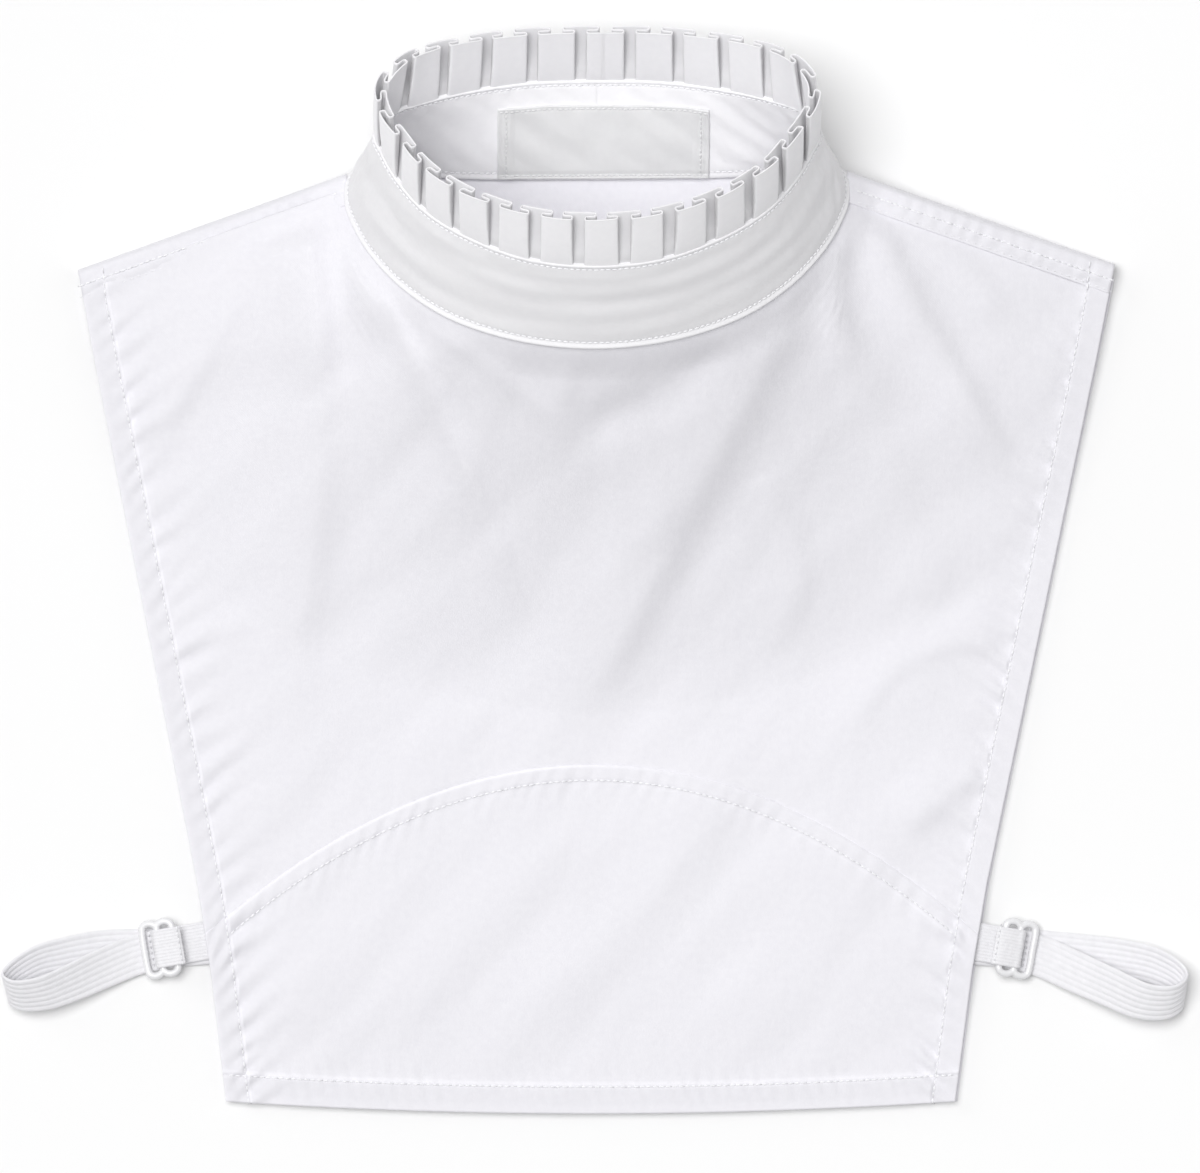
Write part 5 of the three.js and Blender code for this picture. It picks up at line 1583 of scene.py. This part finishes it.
def stitch_tree():
    tree, given, result = new_tree(
        "row of stitches", "GeometryNodeTree",
        [("Geometry", "Geometry", None), ("Pitch", "Float", 0.002), ("Size", "Vector", None),
         ("Seed", "Int", 0), ("Ahead", "Float", 0.0), ("Lift", "Float", 0.0), ("Detail", "Int", 2),
         ("Material", "Material", None)],
        [("Geometry", "Geometry")],
    )
    seam = node(tree, "GeometryNodeMeshToCurve", Mesh=given["Geometry"]).outputs[0]
    places = node(tree, "GeometryNodeResampleCurve", {"mode": "LENGTH"}, Curve=seam, Length=given["Pitch"])
    grain = node(tree, "GeometryNodeMeshIcoSphere", Radius=0.5, Subdivisions=given["Detail"])
    shaped = node(tree, "GeometryNodeTransform", Geometry=grain.outputs[0], Scale=given["Size"])
    face = stored_rise(tree)
    tangent = node(tree, "GeometryNodeInputTangent").outputs[0]
    turned = node(tree, "FunctionNodeAxesToRotation", {"primary_axis": "Z", "secondary_axis": "X"},
                  Primary_Axis=face, Secondary_Axis=tangent)
    jitter = node(tree, "FunctionNodeRandomValue", {"data_type": "FLOAT_VECTOR"},
                  i0=GRAIN_LEAST, i1=GRAIN_MOST, Seed=given["Seed"])
    ahead = vector_sum(tree, "SCALE", tangent, Scale=given["Ahead"])
    lifted = vector_sum(tree, "SCALE", face, Scale=given["Lift"])
    placed = node(tree, "GeometryNodeSetPosition", Geometry=places.outputs[0],
                  Offset=vector_sum(tree, "ADD", ahead, lifted))
    rows = node(tree, "GeometryNodeInstanceOnPoints", Points=placed.outputs[0], Instance=shaped.outputs[0],
                Rotation=turned.outputs[0], Scale=jitter.outputs[0])
    finish_tree(tree, rows.outputs[0], given["Material"], result)
    return tree


STITCHES = stitch_tree()
print("tree", STITCHES.name, "with", len(STITCHES.nodes), "nodes")

# %% Rows of thread and of painted shade at the dimples
STITCH_LONG, STITCH_WIDE, STITCH_HIGH, STITCH_LIFT = 0.78, 0.56, 0.5, 0.16
# The dimples are grey grains of painted shade, half a stitch ahead of each thread
DIMPLE_SIZE, DIMPLE_LIFT, DIMPLE_SEED = (0.5, 0.36, 0.26), 0.02, 50
SLOPE_STEP, SEAM_PITCH = 0.2, 2.05


def grains(name, rows, material, slot, pitch, size, seed, ahead=0.0, lift=0.0, detail=1):
    """One piece with a row of grains along each (points, face directions, closed) seam."""
    piece = add_path(name, rows)
    grown(piece, STITCHES, {"Pitch": pitch * MM, "Size": [v * MM for v in size], "Seed": seed,
                            "Ahead": ahead * MM, "Lift": lift * MM, "Detail": detail, "Material": material})
    map_cloth(piece.data, read(piece.data.vertices, "co", 3)[:, :2] / (MM * CLOTH_UNIT))
    return finish_piece(piece, material, slot)


def stitch_rows(name, rows, material, slot, pitch=SEAM_PITCH, seed=1, detail=2):
    """The thread of some seams, and grey grains of painted shade at the dimples where it dives into the
    cloth.
    """
    thread = (STITCH_LONG * pitch, STITCH_WIDE, STITCH_HIGH)
    dimples = name.replace("stitches", "dimples")
    return [
        grains(name, rows, material, slot, pitch, thread, seed, lift=STITCH_LIFT, detail=detail),
        grains(dimples, rows, PAINTED_SHADE, slot, pitch, DIMPLE_SIZE, seed + DIMPLE_SEED, pitch / 2, DIMPLE_LIFT),
    ]


def surface_row(x, y, height, shift=0.0):
    """A seam across a face that is given as a height: its points and the face's directions there."""
    slope_x = (height(x + SLOPE_STEP, y) - height(x - SLOPE_STEP, y)) / (2 * SLOPE_STEP)
    slope_y = (height(x, y + SLOPE_STEP) - height(x, y - SLOPE_STEP)) / (2 * SLOPE_STEP)
    rise = unit(np.stack([-slope_x, -slope_y, np.ones_like(x)], -1))
    return np.stack([x + shift, y, height(x, y)], -1), rise, False


flat_row = surface_row(np.zeros(2), np.zeros(2), lambda x, y: 0 * x)
print("on a flat table the face points", flat_row[1][0].tolist())

# %% Stitches of the front and the back
ROW_TOP, BACK_ROW_TOP, ARCH_ABOVE, ARCH_BELOW = 85.5, 84, -100, -102
CORNER_X, CORNER_GAP, HEM_ROW_HALF = 106.0, 0.8, 112.6
ROW_END = float(hem_y(CORNER_X)) + CORNER_GAP
hem_x = np.linspace(-HEM_ROW_HALF, HEM_ROW_HALF, 260)


def upper_height(x, y):
    return front_face(x, y, False)


def lower_height(x, y):
    return front_face(x, y, True)


def side_row(side, y, height, shift=0.0):
    return surface_row(side * (side_half(y) - SIDE_STITCH), y, height, shift)


rows = []
for side in (-1, 1):
    rows.append(side_row(side, np.linspace(ROW_TOP, ARCH_ABOVE, 260), upper_height))
    rows.append(side_row(side, np.linspace(ARCH_BELOW, ROW_END, 120), lower_height))
rows.append(surface_row(hem_x, hem_y(hem_x) + HEM_STITCH, lower_height))
rows.append(surface_row(hem_x, arch_y(hem_x) - ARCH_STITCH * arch_slant(hem_x), lower_height))
front_stitches = stitch_rows("front_stitches", rows, THREAD, "body_cotton")

back_side_y = np.linspace(BACK_ROW_TOP, ROW_END, 260)
rows = [side_row(side, back_side_y, back_face, BACK_SHIFT) for side in (-1, 1)]
rows.append(surface_row(hem_x, hem_y(hem_x) + HEM_STITCH, back_face, BACK_SHIFT))
back_stitches = stitch_rows("back_stitches", rows, THREAD, "body_cotton", seed=2, detail=1)

# %% Stitches of the tabs
TAB_PITCH, TAB_THREAD, TAB_SHADE, TAB_SHADE_AHEAD = 1.7, (1.2, 0.5, 0.45), (0.9, 0.6, 0.4), 0.85
# Distance in from the bar, height and half length: the row that sews a tab's end down, and a line of
# painted shadow in the slider's outer slot
TAB_END, SLOT_SHADE = (6.3, 8.05, 5.5), (-2.7, 2.75, 5.6)


def tab_row(side, inward, z, half):
    """A row across a tab, at a distance from its slider's bar towards the panel."""
    x, y = slider_place(side, inward, np.linspace(-half, half, 30))
    return np.stack([x, y, np.full_like(x, z)], -1), np.tile((0, 0, 1.0), (len(x), 1)), False


for side, tag in ((-1, "left"), (1, "right")):
    end, shade = tab_row(side, *TAB_END), tab_row(side, *SLOT_SHADE)
    grains("tab_stitches_" + tag, [end], THREAD, "strap_elastic", TAB_PITCH, TAB_THREAD, 9, detail=2)
    # Grey grains of painted shade along the sewn end and a painted shadow in the outer slot
    grains("tab_dimples_" + tag, [end, shade], PAINTED_SHADE, "strap_elastic", TAB_PITCH, TAB_SHADE, 10,
           TAB_SHADE_AHEAD)

# %% Stitches of the shoulders
FINE_PITCH, FINE_THREAD, FINE_LIFT = 2.4, (1.3, 0.3, 0.3), 0.1


def strip_height(x, y):
    share = (np.abs(x) - SHOULDER_NECK[0]) / (side_half(y) - SHOULDER_NECK[0])
    return strip_top(share, shoulder_distance(x, y))


def shoulder_row(side, x, tuck):
    return surface_row(side * x, shoulder_y(x, tuck), strip_height)


along_x = np.linspace(SHOULDER_NECK[0] + 1.5, SHOULDER_END[0] - 1.0, 160)
end_tuck = np.linspace(2.6, STRIP_WIDTH, 20)
end_x = SHOULDER_END[0] - SIDE_STITCH - 0.4 - end_tuck * 0.1
rows, fine_rows = [], []
for side in (-1, 1):
    rows += [shoulder_row(side, along_x, STRIP_STITCH), shoulder_row(side, end_x, end_tuck)]
    fine_rows.append(shoulder_row(side, along_x, STRIP_EDGE_STITCH))
stitch_rows("shoulder_stitches", rows, THREAD, "body_cotton", seed=3)
grains("shoulder_seam_stitches", fine_rows, THREAD, "body_cotton", FINE_PITCH, FINE_THREAD, 8, lift=FINE_LIFT)

# %% Stitches of the band and the label
BAND_PITCH, LABEL_PITCH = 1.9, 1.7
around = np.arange(900) / 900


def band_row(climb, sign):
    here = band_point(around, np.full_like(around, climb), sign)
    return here, on_ring(ring_out, around) * sign, True


def label_row(across, up):
    across, up = np.broadcast_arrays(across, up)
    here = label_point(across, up, label_top(across, up))
    return here, -on_ring(ring_out, label_share(across, up)), False


rows = [band_row(climb, sign) for sign in (1, -1) for climb in (FOOT_STITCH, TOP_STITCH)]
stitch_rows("band_stitches", rows, THREAD, "collar_cotton", BAND_PITCH, seed=4)

long_way = np.linspace(LABEL_STITCH, LABEL_LONG - LABEL_STITCH, 120)
short_way = np.linspace(LABEL_STITCH, LABEL_TALL - LABEL_STITCH, 50)
rows = [label_row(long_way, up) for up in (LABEL_STITCH, LABEL_TALL - LABEL_STITCH)]
rows += [label_row(across, short_way) for across in (LABEL_MARGIN, LABEL_LONG - LABEL_MARGIN)]
label_stitches = stitch_rows("label_stitches", rows, SATIN, "label_satin", LABEL_PITCH, seed=5)

# %% [markdown]
# ## Light, table and camera
#
# The photograph is a flat lay: the camera is straight above and far away, so nothing is foreshortened, and
# the dickey lies on a white table that is nearly burnt out. A wide soft lamp hangs almost overhead, a
# little to the upper left. A second, low one on the same side draws out the folds, and a faint one from the
# right and the white room fill the shadows. The lens is long and far off to keep the picture's scale the
# same at the table and at the top of the collar. A picture of a room could light the scene too, but each
# lamp has a direction and a strength of its own, which were matched to the shadows in the photograph.

# %% Table
FLOOR_HALF, FLOOR_WHITE = 4.0, 0.88
corners = [(-FLOOR_HALF, -FLOOR_HALF, 0), (FLOOR_HALF, -FLOOR_HALF, 0), (FLOOR_HALF, FLOOR_HALF, 0),
           (-FLOOR_HALF, FLOOR_HALF, 0)]
floor_mesh = bpy.data.meshes.new("table_top")
floor_mesh.from_pydata(corners, [], [(0, 1, 2, 3)])
floor_finish, floor_tree, floor_shader = new_finish("white table")
feed(floor_tree, floor_shader, Base_Color=(FLOOR_WHITE, FLOOR_WHITE, FLOOR_WHITE, 1), Roughness=0.9,
     Specular_IOR_Level=0.0)
floor_mesh.materials.append(floor_finish)
floor = put("table_top", floor_mesh)
print("table", 2 * FLOOR_HALF, "m wide")

# %% Light
ROOM_LIGHT = 0.26
world = bpy.data.worlds.new("soft room")
world.use_nodes = True
feed(world.node_tree, world.node_tree.nodes["Background"], Color=(1.0, 1.0, 1.0, 1), Strength=ROOM_LIGHT)
bpy.context.scene.world = world


def soft_lamp(name, towards, strength, spread):
    """A far lamp with a wide disc: its light on a facing surface, 1 for white, and its angle in degrees."""
    lamp = bpy.data.lights.new(name, "SUN")
    lamp.energy, lamp.angle = strength * math.pi, math.radians(spread)
    put(name, lamp).rotation_euler = Vector(towards).to_track_quat("Z", "Y").to_euler()
    print(name, strength)


soft_lamp("wide lamp above, from the upper left", (-0.19, 0.14, 0.972), 0.79, 40)
soft_lamp("low lamp from the upper left", (-0.75, 0.5, 0.43), 0.11, 40)
soft_lamp("faint fill from the right", (0.8, -0.1, 0.59), 0.08, 60)

# %% Camera
VIEW_X, VIEW_Y, VIEW_Z = 1.84, -5.0, 40.0
VIEW_FAR, VIEW_WIDE, SENSOR = 12.0, 0.375, 36.0
lens = bpy.data.cameras.new("overhead camera")
lens.sensor_width = SENSOR
lens.lens = SENSOR * VIEW_FAR / VIEW_WIDE
lens.clip_end = 30.0
camera = put("overhead camera", lens)
camera.location = (VIEW_X * MM, VIEW_Y * MM, VIEW_FAR + VIEW_Z * MM)
bpy.context.scene.camera = camera
bpy.context.scene.view_settings.view_transform = "Standard"
print("the camera sees", VIEW_WIDE, "m across, from", VIEW_FAR, "m up")

# %% [markdown]
# ## The cloth of the shoulder strips
#
# The area of each shoulder strip's cloth is half the surface of its closed shell.

# %% Area of the strips' cloth
def cloth_area(piece):
    """Half of a closed piece's surface, in square metres."""
    return sum(face.area for face in piece.data.polygons) / 2


for strip in strips:
    print(f"{strip.name}: {cloth_area(strip):.4f} m2")
